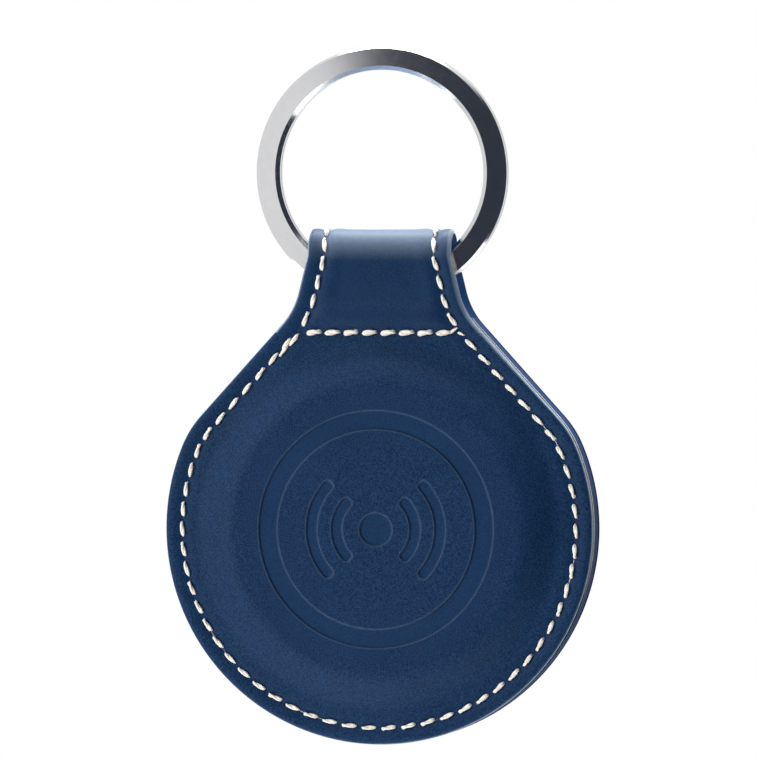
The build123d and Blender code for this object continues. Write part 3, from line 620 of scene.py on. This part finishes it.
# ---- the leather's outline
@dataclass
class Outline:
    """A panel's outline as half widths over height: round, then a straight shoulder and a flared neck."""

    panel_r: float
    fold_height: float
    neck_half: float = 8.6 * MM
    neck_flare: float = 1.6 * MM
    corner_height: float = 25.8 * MM
    shoulder_angle: float = math.radians(62)
    shoulder_round: float = 12 * MM
    neck_round: float = 9 * MM
    deepest: float = 6 * MM

    def __post_init__(self) -> None:
        """Works out the straight lines and the centres of the two rounds between them."""
        corner = Vector((self.neck_half + self.neck_flare, self.corner_height))
        start = Vector((math.sin(self.shoulder_angle), math.cos(self.shoulder_angle))) * self.panel_r
        along = (corner - start).normalized()
        self.slope = Vector((along.y, -along.x))
        self.slope_far = start.dot(self.slope)
        side = Vector((self.neck_half - corner.x, self.fold_height - corner.y)).normalized()
        self.side = Vector((side.y, -side.x))
        self.side_far = corner.dot(self.side)
        deep = self.slope_far - self.shoulder_round
        reach = self.panel_r - self.shoulder_round
        self.shoulder_at = self.slope * deep - along * math.sqrt(reach * reach - deep * deep)
        a, b = self.slope_far + self.neck_round, self.side_far + self.neck_round
        cross = self.slope.x * self.side.y - self.slope.y * self.side.x
        meet = (a * self.side.y - b * self.slope.y, b * self.slope.x - a * self.side.x)
        self.neck_at = Vector(meet) / cross

    def half_width(self, height: float, inset: float = 0.0) -> float:
        """The outline's half width.

        Args:
            height: Above the panel's centre.
            inset: How far inside the outline the line runs.

        Returns:
            The distance from the middle line.
        """
        round_r = self.panel_r - inset
        if height <= self.shoulder_at.normalized().y * round_r:
            return math.sqrt(max(0.0, round_r * round_r - height * height))
        shoulder_r = self.shoulder_round - inset
        if height <= self.shoulder_at.y + shoulder_r * self.slope.y:
            drop = height - self.shoulder_at.y
            return self.shoulder_at.x + math.sqrt(max(0.0, shoulder_r**2 - drop**2))
        neck_r = self.neck_round + inset
        if height <= self.neck_at.y - neck_r * self.slope.y:
            return (self.slope_far - inset - self.slope.y * height) / self.slope.x
        if height <= self.neck_at.y - neck_r * self.side.y:
            return self.neck_at.x - math.sqrt(max(0.0, neck_r**2 - (height - self.neck_at.y) ** 2))
        return (self.side_far - inset - self.side.y * height) / self.side.x

    def edge_distance(self, x: float, height: float) -> float:
        """How far a point is inside the outline.

        Args:
            x: Across.
            height: Above the panel's centre.

        Returns:
            The distance to the cut edge.
        """
        if height <= self.shoulder_at.normalized().y * math.hypot(x, height):
            return self.panel_r - math.hypot(x, height)
        inset = 0.0
        for _ in range(5):  # steps of 0.85, because a full one overshoots on the slanted edges
            inset += (self.half_width(height, inset) - abs(x)) * 0.85
            inset = min(inset, self.deepest)
        return inset

    def on_ray(self, angle: float) -> Vector:
        """Where a ray from the panel's centre leaves it.

        Args:
            angle: Clockwise from straight up.

        Returns:
            The point on the outline.
        """
        ray = Vector((math.sin(angle), math.cos(angle)))
        low, high = 0.0, self.panel_r * 2
        for _ in range(40):
            middle = (low + high) / 2
            if middle * ray.y <= self.panel_r * 0.3:
                inside = middle < self.panel_r
            else:
                inside = abs(ray.x) * middle < self.half_width(middle * ray.y)
            low, high = (middle, high) if inside else (low, middle)
        return ray * low


# ---- leather case
@dataclass
class LeatherCase:
    """The one piece of leather: domed front, neck folded over the ring, and rear with its window."""

    outline: Outline
    centre_z: float
    rim_y: float = 3.1 * MM
    leather: float = 1.5 * MM
    dome_height: float = 2.2 * MM
    dome_top_r: float = 17.0 * MM
    dome_foot_r: float = 22.4 * MM
    window_r: float = 15.6 * MM
    seam_height: float = 23.25 * MM
    seam_inset: float = 2.0 * MM
    groove_half: float = 0.42 * MM
    groove_depth: float = 0.2 * MM
    puff: float = 0.08 * MM
    puff_rise: Point = (0.5 * MM, 1.2 * MM)
    puff_fall: Point = (1.4 * MM, 2.6 * MM)
    edge_roll: float = 0.5 * MM
    window_roll: float = 0.3 * MM
    dome_crown: float = 0.1 * MM
    swell: float = 0.4 * MM
    swell_above: float = 2.3 * MM
    swell_half: float = 1.3 * MM
    swell_inside: Point = (2 * MM, 4.5 * MM)
    ripple: float = 0.035 * MM
    ripple_size: float = 7 * MM
    ripple_inside: Point = (0.4 * MM, 2 * MM)
    rim_wear: float = 0.08 * MM
    # Painted reflection along the right front edge, widening up the neck's right edge; the rim's wear
    # above runs round both panels.
    right_edge_highlight: float = 0.04 * MM
    neck_edge_highlight: float = 0.34 * MM
    neck_highlight_heights: Point = (10 * MM, 24 * MM)
    mark_depth: float = 0.24 * MM
    mark_wall: Point = (-0.09 * MM, 0.08 * MM)
    # A painted highlight: a thin pale line along the edges of the debossed mark.
    mark_highlight: float = 0.15
    mark_highlight_at: float = 0.1 * MM
    mark_highlight_half: float = 0.08 * MM
    band: Point = (11.9 * MM, 14.0 * MM)
    dot_r: float = 1.9 * MM
    wave_radii: tuple[float, ...] = (4.7 * MM, 7.7 * MM)
    wave_half: float = 0.6 * MM
    wave_reach: float = math.radians(42)
    front_rings: tuple[float, ...] = (0.0, 0.6, 1.2, 2.8, 3.4, 6.2, 9.2, 10.4, 12.9, 15.2, 16.3)
    mark_rings: tuple[float, ...] = (-0.3, -0.19, -0.1, -0.03, 0.03, 0.1, 0.19, 0.3)
    window_rings: tuple[float, ...] = (0.0, 0.12, 0.4, 1.0)
    dome_rings: int = 14
    rim_shares: tuple[float, ...] = (
        0.12, 0.24, 0.34, 0.4, 0.46, 0.52, 0.6, 0.7, 0.8, 0.88, 0.93, 0.97, 0.99, 1.0,
    )
    chord_columns: int = 64
    rim_columns: int = 256
    strip_rows: int = 88

    @property
    def seam_half(self) -> float:
        """How far each side the closing seam runs."""
        return self.outline.half_width(self.seam_height, self.seam_inset)

    def mark_distance(self, x: float, height: float) -> float:
        """Distance to the debossed mark: a band round a dot that sends out waves.

        Args:
            x: Across.
            height: Above the panel's centre.

        Returns:
            Negative inside the mark.
        """
        r = math.hypot(x, height)
        away = min(max(self.band[0] - r, r - self.band[1]), r - self.dot_r)
        turn = math.atan2(height, abs(x))
        for wave in self.wave_radii:
            held = max(-self.wave_reach, min(self.wave_reach, turn))
            near = math.hypot(abs(x) - wave * math.cos(held), height - wave * math.sin(held))
            away = min(away, near - self.wave_half)
        return away

    def lift(self, x: float, height: float, side: Side) -> tuple[float, float, float]:
        """The grain surface over a point of a panel.

        Args:
            x: Across.
            height: Above the panel's centre.
            side: Which panel.

        Returns:
            How far the surface stands from the mid-plane, how pressed it is, and how much rim wear and
            painted highlight its colour takes.
        """
        r = math.hypot(x, height)
        inside = self.outline.edge_distance(x, height)
        rise = 1 - blend(self.dome_top_r, self.dome_foot_r, r)
        out = self.rim_y + self.dome_height * rise
        seam = abs(inside - self.seam_inset)
        if abs(x) < self.seam_half:
            seam = min(seam, abs(height - self.seam_height))
        out -= self.groove_depth * math.exp(-((seam / self.groove_half) ** 2))
        out += self.puff * blend(*self.puff_rise, seam) * (1 - blend(*self.puff_fall, seam)) * (1 - rise)
        above = (height - self.seam_height - self.swell_above) / self.swell_half
        out += self.swell * math.exp(-(above**2)) * blend(*self.swell_inside, inside)
        roll = max(0.0, self.edge_roll - inside)
        out -= self.edge_roll - math.sqrt(max(0.0, self.edge_roll**2 - roll * roll))
        pressed = mark_highlight = 0.0
        if side is Side.FRONT:
            mark = self.mark_distance(x, height)
            pressed = 1 - blend(*self.mark_wall, mark)
            # Painted highlight along the mark's edges.
            mark_highlight = self.mark_highlight * math.exp(-(((mark - self.mark_highlight_at) / self.mark_highlight_half) ** 2))
            out -= self.mark_depth * pressed
            out += self.dome_crown * (1 - (r / self.dome_top_r) ** 2) * rise
        where = Vector((x, height, side.value * 30 * MM)) / self.ripple_size  # far apart on the two sides
        out += self.ripple * noise.noise(where) * blend(*self.ripple_inside, inside)
        wear = self.rim_wear
        # Painted reflection along the right front edge, widening up the neck.
        if side is Side.FRONT and x > 0:
            wear += self.right_edge_highlight + self.neck_edge_highlight * blend(*self.neck_highlight_heights, height)
        return out, pressed, max(mark_highlight, 1 - blend(0.35 * wear, wear, inside))

    def place(self, x: float, run: float, out: float) -> Vector:
        """A point of the unrolled leather, in the part's frame.

        Args:
            x: Across.
            run: Along the leather: the height on the front, then over the fold and down the rear.
            out: Distance from the mid-plane, or from the fold's axis.

        Returns:
            The point.
        """
        top = self.outline.fold_height
        over = (run - top) / self.rim_y
        if over <= 0:
            return Vector((x, -out, self.centre_z + run))
        if over < math.pi:
            return Vector((x, -out * math.cos(over), self.centre_z + top + out * math.sin(over)))
        return Vector((x, out, self.centre_z + self.rear_height(run)))

    def rear_height(self, run: float) -> float:
        """The height on the rear panel of a point that far along the leather."""
        return 2 * self.outline.fold_height + math.pi * self.rim_y - run

    def panel(self, bm: BMesh, side: Side) -> None:
        """Adds one round panel, up to the closing seam.

        Args:
            bm: Where it goes.
            side: Which panel.
        """
        edges = [self.dot_r, *self.band]
        for wave in self.wave_radii:
            edges += [wave - self.wave_half, wave + self.wave_half]
        dome = spread(self.dome_top_r - 0.3 * MM, self.dome_foot_r + 0.2 * MM, self.dome_rings)
        if side is Side.FRONT:
            own = [ring * MM for ring in self.front_rings]
            own += [edge + step * MM for edge in edges for step in self.mark_rings]
        else:
            own = [self.window_r + step * MM for step in self.window_rings]
        radii = sorted({*dome, *own})
        shares = self.rim_shares
        chord = self.chord_half
        corner = math.atan2(chord, self.seam_height)
        ends = [Vector((x, self.seam_height)) for x in spread(-chord, chord, self.chord_columns + 1)]
        angles = spread(corner, math.tau - corner, self.rim_columns + 1)[1:-1]
        ends += [self.outline.on_ray(angle) for angle in angles]
        ends.append(ends[0])

        def at(column: int, row: int) -> Vector:
            """Place of a point: on a circle as far as the dome's foot, then on towards the edge.

            Args:
                column: Round the panel.
                row: Outwards.

            Returns:
                The place.
            """
            end = ends[column]
            if row < len(radii):
                spot = end.normalized() * radii[row]
            else:
                inner = end.normalized() * radii[-1]
                spot = inner.lerp(end, shares[row - len(radii)])
            out, pressed, edge = self.lift(spot.x, spot.y, side)
            if side is Side.REAR:
                lip = max(0.0, self.window_r + self.window_roll - spot.length)
                out -= self.window_roll - math.sqrt(max(0.0, self.window_roll**2 - lip * lip))
            return Vector((spot.x, side.value * out, self.centre_z + spot.y))

        warped_grid(bm, len(ends), len(radii) + len(shares), at)

    @property
    def chord_half(self) -> float:
        """Half the leather's width at the closing seam."""
        return self.outline.half_width(self.seam_height)

    def strap(self, bm: BMesh) -> None:
        """Adds the neck: up the front, over the ring and down the rear, between the closing seams.

        Args:
            bm: Where it goes.
        """
        length = self.rear_height(self.seam_height) - self.seam_height
        runs = [self.seam_height + length * i / (self.strip_rows - 1) for i in range(self.strip_rows)]

        def at(column: int, row: int) -> Vector:
            """Place of a point of the neck.

            Args:
                column: Across.
                row: Along.

            Returns:
                The place.
            """
            run = runs[row]
            height = min(run, self.rear_height(run), self.outline.fold_height)
            half = self.outline.half_width(height)
            x = half * (2 * column / self.chord_columns - 1)
            side = Side.FRONT if run < self.rear_height(run) else Side.REAR
            return self.place(x, run, self.lift(x, height, side)[0])

        warped_grid(bm, self.chord_columns + 1, self.strip_rows, at)

    def build(self) -> None:
        """Builds the leather, with its thickness and its cut edges."""
        bm = bmesh.new()
        self.panel(bm, Side.FRONT)
        self.strap(bm)
        self.panel(bm, Side.REAR)
        bmesh.ops.remove_doubles(bm, verts=bm.verts, dist=0.004 * MM)
        bmesh.ops.dissolve_degenerate(bm, dist=0.002 * MM, edges=bm.edges)
        bmesh.ops.recalc_face_normals(bm, faces=bm.faces)
        bm.faces.ensure_lookup_table()
        front = Vector((0, -self.rim_y, self.centre_z))
        middle = min(bm.faces, key=lambda face: (face.calc_center_median() - front).length)
        if middle.normal.y > 0:
            bmesh.ops.reverse_faces(bm, faces=bm.faces)
        pressed = bm.verts.layers.float.new("pressed")
        # Per-point attributes: how pressed the grain is, and the rim's wear with the painted highlights
        # along the mark's edges and the right front edge.
        edge = bm.verts.layers.float.new("edge")
        for vert in bm.verts:
            side = Side.FRONT if vert.co.y < 0 else Side.REAR
            height = min(vert.co.z - self.centre_z, self.outline.fold_height)
            _, vert[pressed], vert[edge] = self.lift(vert.co.x, height, side)
        finishes = [GrainLeather().make(), FleshSide().make(), CutEdge("leather_cut_edge").make()]
        obj = piece("leather_case", bm, CASE, finishes, "leather_shell")
        shell = obj.modifiers.new("thickness", "SOLIDIFY")
        shell.thickness = self.leather
        shell.offset = -1
        shell.use_quality_normals = True
        shell.material_offset = Slot.FLESH.value
        shell.material_offset_rim = Slot.CUT.value


# ---- stitching
@dataclass
class Stitching:
    """Lockstitch rows of plied thread, laid on the leather along paths of its unrolled surface."""

    case: LeatherCase
    thread: Material
    pitch: float = 2.4 * MM
    length: float = 1.72 * MM
    ply_r: float = 0.165 * MM
    ply_apart: float = 0.1 * MM
    lie: float = 0.02 * MM
    loft: float = 0.07 * MM
    dive: float = 0.42 * MM
    twist: float = 1.9
    twist_start: float = 0.5
    slant: float = math.radians(7)
    sway: float = 0.06
    strand_r: float = 0.07 * MM
    strand_drop: float = 0.27 * MM
    rim_start: float = 0.5 * MM
    neck_start: float = 0.6 * MM
    closing_inset: float = 0.95 * MM
    closing_pitch: float = 2.3 * MM
    closing_length: float = 1.7 * MM
    closing_fat: float = 1.32
    neck_fat: float = 1.05
    doubled_length: float = 1.75 * MM
    # Doubled stitches of the left corner: how far along the edge, how far inside it, and how fat.
    doubled: tuple[Place, ...] = ((0.9 * MM, 0.36 * MM, 1.0), (2.7 * MM, 0.3 * MM, 0.85))
    # Turned stitches of the right corner: across, up, angle, length, how fat, and which they are.
    turned: tuple[tuple[float, ...], ...] = (
        (0.1 * MM, 0.28 * MM, math.radians(28), 1.2 * MM, 0.7, 75),
        (1.0 * MM, -0.1 * MM, math.radians(-30), 0.9 * MM, 0.6, 77),
    )
    sides: int = 6
    stations: int = 9

    def tube(self, bm: BMesh, line: Sequence[tuple[Vector, float]]) -> None:
        """Adds one ply along a line.

        Args:
            bm: Where it goes.
            line: Points of the unrolled leather, with their lift as third value, and the radius at each.
        """
        case = self.case
        places = [case.place(point.x, point.y, case.rim_y + point.z) for point, _ in line]
        rings = []
        for i, (place, (_, radius)) in enumerate(zip(places, line)):
            along = (places[min(i + 1, len(places) - 1)] - places[max(i - 1, 0)]).normalized()
            across = along.orthogonal() if abs(along.y) > 0.95 else along.cross(Vector((0, 1, 0)))
            across.normalize()
            third = along.cross(across)
            turns = [math.tau * k / self.sides for k in range(self.sides)]
            rings.append([place + (across * math.cos(t) + third * math.sin(t)) * radius for t in turns])
        sweep(bm, rings)

    def stitch(
        self, bm: BMesh, x: float, run: float, angle: float, length: float, fat: float, seed: int
    ) -> None:
        """Adds one stitch: two plies that twist round each other and dive into the leather at both ends.

        Args:
            bm: Where it goes.
            x: Its middle, across the leather.
            run: Its middle, along the leather.
            angle: Its direction, from across towards along.
            length: How long it shows.
            fat: How thick it is, as a share of the normal thread.
            seed: Which stitch it is, so that no two are alike.
        """
        wobble = noise.noise(Vector((seed * 1.7, run / MM, x / MM)))
        angle += self.slant + wobble * self.sway
        along = Vector((math.cos(angle), math.sin(angle)))
        across = Vector((-along.y, along.x))
        length *= 1 + self.sway * noise.noise(Vector((seed * 2.3, 4.1, 0.7)))
        for ply in (0, 1):
            line = []
            for k in range(self.stations):
                t = 2 * k / (self.stations - 1) - 1
                turn = math.pi * ply + t * self.twist + self.twist_start + wobble
                bulge = math.sqrt(1 - (abs(t) ** 6) * 0.6) * fat
                aside = self.ply_apart * fat * math.cos(turn)
                lift = self.lie + self.loft * fat - self.dive * abs(t) ** 12
                lift += self.ply_apart * fat * 0.8 * math.sin(turn)
                spot = Vector((x, run)) + along * (t * length / 2) + across * aside
                line.append((Vector((spot.x, spot.y, lift)), self.ply_r * bulge))
            self.tube(bm, line)

    def link(self, bm: BMesh, start: Vector, end: Vector) -> None:
        """Adds the thin strand that shows in the groove between two stitches.

        Args:
            bm: Where it goes.
            start: Where the first stitch ends, across and along the leather.
            end: Where the second one starts.
        """
        line = []
        for k in range(4):
            spot = start.lerp(end, k / 3)
            line.append((Vector((spot.x, spot.y, -self.strand_drop)), self.strand_r))
        self.tube(bm, line)

    def row(
        self, bm: BMesh, path: Sequence[Point], pitch: float, fat: float = 1.0,
        length: float | None = None,
    ) -> None:
        """Sews a row along a path, with whole stitches from end to end.

        Args:
            bm: Where it goes.
            path: Points of the unrolled leather, close together.
            pitch: The spacing that the row comes nearest to.
            fat: How thick the thread lies.
            length: How long each stitch shows.
        """
        points = [Vector(p) for p in path]
        reach = [0.0]
        for a, b in zip(points, points[1:]):
            reach.append(reach[-1] + (b - a).length)
        count = max(1, round(reach[-1] / pitch))
        step = reach[-1] / count
        length = length or self.length
        last = None
        k = 0
        for i in range(count):
            want = step * (i + 0.5)
            while reach[k + 1] < want:
                k += 1
            share = (want - reach[k]) / (reach[k + 1] - reach[k])
            spot = points[k].lerp(points[k + 1], share)
            along = (points[k + 1] - points[k]).normalized()
            seed = i + round(pitch / MM * 10)
            self.stitch(bm, spot.x, spot.y, math.atan2(along.y, along.x), length, fat, seed)
            if last is not None:
                self.link(bm, last, spot - along * length / 2)
            last = spot + along * length / 2

    def rim_path(self, mirror: int) -> list[Point]:
        """The edge seam from the closing seam down to the bottom, on one side.

        Args:
            mirror: 1 for the right, -1 for the left.

        Returns:
            Its points on the front panel.
        """
        case, inset = self.case, self.case.seam_inset
        low = case.outline.shoulder_at.normalized().y * (case.outline.panel_r - inset)
        heights = spread(case.seam_height - self.rim_start, low, 60)
        path = [(mirror * case.outline.half_width(height, inset), height) for height in heights]
        r = case.outline.panel_r - inset
        turn = math.asin(low / r)
        path += [(mirror * r * math.cos(a), r * math.sin(a)) for a in spread(turn, -math.pi / 2, 120)[1:]]
        return path

    def on_rear(self, path: Sequence[Point]) -> list[Point]:
        """The same path on the rear panel."""
        return [(x, self.case.rear_height(height)) for x, height in path]

    def perimeter(self) -> None:
        """Sews the edge of both panels."""
        bm = bmesh.new()
        path = self.rim_path(1) + self.rim_path(-1)[::-1][1:]
        for side in (path, self.on_rear(path)):
            self.row(bm, side, self.pitch)
        self.finished(bm, "edge_stitching", "perimeter_stitching")

    def closing(self) -> None:
        """Sews the thicker row across the neck, with the turned stitches at both its ends."""
        bm = bmesh.new()
        case = self.case
        half = case.seam_half - self.closing_inset
        path = [(x, case.seam_height) for x in spread(-half, half, 40)]
        for side in (path, self.on_rear(path)):
            self.row(bm, side, self.closing_pitch, self.closing_fat, self.closing_length)
        slope = case.outline.slope
        along, inward = Vector((slope.y, -slope.x)), -slope
        for side in Side:
            run = case.seam_height if side is Side.FRONT else case.rear_height(case.seam_height)
            down = side.value
            turn = math.atan2(-along.y * down, -along.x)
            for far, aside, fat in self.doubled:
                spot = along * far + inward * aside
                x, height = -case.seam_half - spot.x, run - spot.y * down
                self.stitch(bm, x, height, turn, self.doubled_length, fat, 71)
            for right, up, angle, length, fat, seed in self.turned:
                self.stitch(bm, half + right, run - down * up, -down * angle, length, fat, seed)
        self.finished(bm, "closing_seam_stitching", "closing_stitching")

    def loop(self) -> None:
        """Sews both edges of the neck, from the closing seam over the fold to the other side."""
        bm = bmesh.new()
        case = self.case
        low = case.seam_height + self.neck_start
        high = case.rear_height(low)
        for mirror in (-1, 1):
            path = []
            for run in spread(low, high, 120):
                height = min(run, case.rear_height(run), case.outline.fold_height)
                path.append((mirror * case.outline.half_width(height, case.seam_inset), run))
            self.row(bm, path, self.pitch, self.neck_fat)
        self.finished(bm, "neck_stitching", "loop_stitching")

    def finished(self, bm: BMesh, name: str, node: str) -> None:
        """Closes a row of stitches into a piece.

        Args:
            bm: The stitches.
            name: The piece's name.
            node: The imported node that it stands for.
        """
        bmesh.ops.recalc_face_normals(bm, faces=bm.faces)
        obj = piece(name, bm, CASE, [self.thread], node)


# ---- split ring
@dataclass
class SplitRing:
    """Flat steel wire wound twice, with a short ramp between the coils and a slit beside each end."""

    centre_z: float
    outer_r: float
    half: float
    wire: float = 2.8 * MM
    slit: float = 0.1 * MM
    inner_chamfer: float = 0.5 * MM
    outer_chamfer: float = 0.25 * MM
    least_chamfer: float = 0.05 * MM
    crown: float = 0.22 * MM
    ramp: float = math.radians(30)
    end_gap: float = math.radians(1.2)
    steps_per_turn: int = 288

    @property
    def inner_r(self) -> float:
        """The radius inside the ring."""
        return self.outer_r - self.wire

    def section(self, rear: float) -> list[Point]:
        """The wire's section, as radius and depth.

        Args:
            rear: 0 on the front coil, 1 on the rear coil, between them on the ramp.

        Returns:
            The points, from the inside of the front face round.
        """
        wall = self.half - self.slit / 2
        middle = (rear * 2 - 1) * (self.slit / 2 + wall / 2)
        points = []
        for share, sign in ((1 - rear, -1), (rear, 1)):
            face = middle + sign * wall / 2
            drop = self.crown * share * -sign
            inner = max(self.inner_chamfer * share, self.least_chamfer)
            outer = max(self.outer_chamfer * share, self.least_chamfer)
            line = [
                (self.inner_r, face - sign * inner), (self.inner_r + inner, face),
                (self.outer_r - outer, face + drop), (self.outer_r, face + drop - sign * outer),
            ]
            points += line if sign < 0 else line[::-1]
        return points

    def build(self) -> None:
        """Winds the ring."""
        bm = bmesh.new()
        coil = math.tau - self.ramp - self.end_gap
        total = 2 * coil + self.ramp
        count = round(total / math.tau * self.steps_per_turn)
        start = math.pi / 2 + self.ramp / 2 - coil - self.ramp
        rings = []
        for i in range(count + 1):
            wound = total * i / count
            angle = start + wound
            rear = 1 - blend(coil, coil + self.ramp, wound)
            across, up = math.cos(angle), math.sin(angle)
            section = self.section(rear)
            rings.append([Vector((r * across, y, self.centre_z - r * up)) for r, y in section])
        sweep(bm, rings)
        bmesh.ops.recalc_face_normals(bm, faces=bm.faces)
        obj = piece("split_ring", bm, RING, [PolishedSteel().make()], "key_ring")
        obj.data.set_sharp_from_angle(angle=math.radians(25))


# ---- tracker and inner layers
@dataclass
class Tracker:
    """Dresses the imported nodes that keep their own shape: the puck, its insides and the inner layers."""

    nodes: dict[str, Object]

    def dress(self) -> None:
        """Gives each kept node its finish."""
        plan = {
            SparkPlastic("shell_white", (0.56, 0.56, 0.55)):
                ("puck_front_cover", "puck_rear_housing", "button_cap"),
            SparkPlastic("door_grey", (0.4, 0.4, 0.405), 0.016 * MM, 0.36): ("battery_door",),
            SparkPlastic("silicone", (0.05, 0.05, 0.055), 0.006 * MM, 0.6):
                ("housing_seal", "door_gasket"),
            SparkPlastic("moulding_black", (0.02, 0.02, 0.022), gloss=0.5):
                ("cell_seal", "radio_chip", "battery_cradle", "buzzer_case", "switch_base",
                 "switch_plunger"),
            DrawnMetal("cell_steel", (0.66, 0.66, 0.65)): ("cell_can", "cell_cap", "cradle_screws"),
            DrawnMetal("crystal_can", (0.72, 0.72, 0.7), 0.22): ("main_crystal", "sleep_crystal"),
            DrawnMetal("spring_gold", (0.8, 0.6, 0.26), 0.25):
                ("positive_contact", "negative_contact", "buzzer_diaphragm"),
            SparkPlastic("fired_ceramic", (0.55, 0.5, 0.38)):
                ("chip_antenna", "passive_components", "status_led"),
            SparkPlastic("mesh_black", (0.03, 0.03, 0.03), 0.03 * MM, 0.9): ("acoustic_mesh",),
            BoardMask(): ("circuit_board",),
            ClearPlastic(): ("light_pipe",),
            # The inner layers' edges take the same painted shade behind the middle and at the bottom.
            CutEdge("layer_cut_edge"): ("front_lining", "back_lining", "front_spacer", "back_stiffener"),
        }
        for finish, names in plan.items():
            material = finish.make()
            for name in names:
                mesh = self.nodes[name].data
                mesh.materials.clear()
                mesh.materials.append(material)
                log.info("%s: dressed in %s", name, material.name)


# ---- studio
@dataclass(frozen=True)
class Lamp:
    """One soft rectangular light, which only shows in what it lights."""

    name: str
    place: Place
    size: Point
    power: float


@dataclass
class Studio:
    """White surroundings, soft lights, a pale floor and the camera."""

    aim: Vector
    azimuth: float = math.radians(9.2)
    elevation: float = math.radians(1.5)
    distance: float = 1.6
    view_width: float = 89.9 * MM
    floor_z: float = -0.3
    floor_r: float = 0.36
    white: Colour = (0.9, 0.9, 0.91)
    dark: Colour = (0.03, 0.037, 0.055)
    dark_right_of: Point = (-0.28, -0.155)
    dark_ahead_of: Point = (-0.05, 0.12)
    dark_below: Point = (0.6, 0.85)
    lamps: tuple[Lamp, ...] = (
        Lamp("left_key", (-0.78, -0.66, 0.08), (0.3, 0.6), 4.8),
        Lamp("front_high", (-0.16, -0.88, 0.55), (0.3, 0.2), 1.8),
        Lamp("front_low", (-0.36, -0.85, -0.62), (0.4, 0.3), 1.9),
        Lamp("top_strip", (0.0, 0.19, 0.66), (0.6, 0.4), 23.0),
    )

    def light(self, lamp: Lamp) -> None:
        """Adds a light that faces the fob.

        Args:
            lamp: Which one, with its power in watts.
        """
        data = bpy.data.lights.new(lamp.name, "AREA")
        data.shape = "RECTANGLE"
        data.size, data.size_y = lamp.size
        data.energy = lamp.power
        obj = bpy.data.objects.new(lamp.name, data)
        obj.location = lamp.place
        obj.rotation_euler = (self.aim - Vector(lamp.place)).to_track_quat("-Z", "Y").to_euler()
        obj.visible_camera = False
        bpy.context.scene.collection.objects.link(obj)

    def world(self) -> None:
        """A room that is dark at the front right, white elsewhere, and all white to the camera."""
        world = bpy.data.worlds.new("room")
        world.use_nodes = True
        bpy.context.scene.world = world
        n = Nodes(world.node_tree)
        way = n.add("ShaderNodeTexCoord", out="Generated")
        x, y, z = (n.add("ShaderNodeSeparateXYZ", inputs={0: way}, out=letter) for letter in "XYZ")
        dark = x.smooth(*self.dark_right_of) * (1 - y.smooth(*self.dark_ahead_of))
        dark = dark * (1 - z.smooth(*self.dark_below))
        colour = n.mix(dark, self.white, self.dark)
        room = n.nodes["Background"]
        n.fill(room.inputs["Color"], colour)
        backdrop = n.add("ShaderNodeBackground", inputs={"Color": (1.0, 1.0, 1.0)})
        seen = n.add("ShaderNodeLightPath", out="Is Camera Ray")
        shaders = {0: seen, 1: Sock(n, room.outputs[0]), 2: backdrop}
        mix = n.add("ShaderNodeMixShader", inputs=shaders)
        n.links.new(mix.socket, n.nodes["World Output"].inputs["Surface"])

    def floor(self) -> None:
        """A pale round floor below the hanging fob."""
        bm = bmesh.new()
        bmesh.ops.create_circle(bm, segments=96, radius=self.floor_r, cap_ends=True)
        bmesh.ops.translate(bm, verts=bm.verts, vec=(0, 0, self.floor_z))
        mesh = bpy.data.meshes.new("floor")
        bm.to_mesh(mesh)
        bm.free()
        obj = bpy.data.objects.new("floor", mesh)
        bpy.context.scene.collection.objects.link(obj)
        s = Shader("floor_paper")
        tone = s.mix(s.noise(40 * MM, 2), (0.7, 0.7, 0.71), (0.75, 0.75, 0.75))
        mesh.materials.append(s.finish(Base_Color=tone, Roughness=0.9))

    def camera(self) -> None:
        """A long lens at the height of the fob's middle, turned a little to its right side."""
        data = bpy.data.cameras.new("camera")
        data.sensor_width = 36.0
        data.lens = 36.0 * self.distance / self.view_width
        data.clip_start, data.clip_end = 0.01, 10.0
        obj = bpy.data.objects.new("camera", data)
        flat = math.cos(self.elevation)
        x, y = math.sin(self.azimuth) * flat, -math.cos(self.azimuth) * flat
        back = Vector((x, y, math.sin(self.elevation)))
        obj.location = self.aim + back * self.distance
        obj.rotation_euler = (-back).to_track_quat("-Z", "Y").to_euler()
        bpy.context.scene.collection.objects.link(obj)
        bpy.context.scene.camera = obj

    def build(self) -> None:
        """Sets up the whole studio."""
        bpy.context.scene.view_settings.view_transform = "Standard"
        self.world()
        self.floor()
        self.camera()
        for lamp in self.lamps:
            self.light(lamp)


def main() -> None:
    """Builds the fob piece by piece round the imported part."""
    logging.basicConfig(level=logging.INFO, format="%(name)s: %(message)s")
    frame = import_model()
    low, high = (Vector(corner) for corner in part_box("leather_shell"))
    ring_low, ring_high = (Vector(corner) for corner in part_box("key_ring"))
    panel_r = high.x
    centre_z = low.z + panel_r
    outline = Outline(panel_r, high.z - LeatherCase.rim_y - centre_z)
    aim = Vector((-0.45 * MM, 0, centre_z + 17.67 * MM))  # what the camera and the lights face
    Studio(aim).build()
    case = LeatherCase(outline, centre_z)
    case.build()
    stitching = Stitching(case, WaxedThread().make())
    stitching.perimeter()
    stitching.closing()
    stitching.loop()
    ring_centre = (ring_low.z + ring_high.z) / 2
    SplitRing(ring_centre, ring_high.x, ring_high.y).build()
    Tracker(frame["nodes"]).dress()


if __name__ == "__main__":
    main()
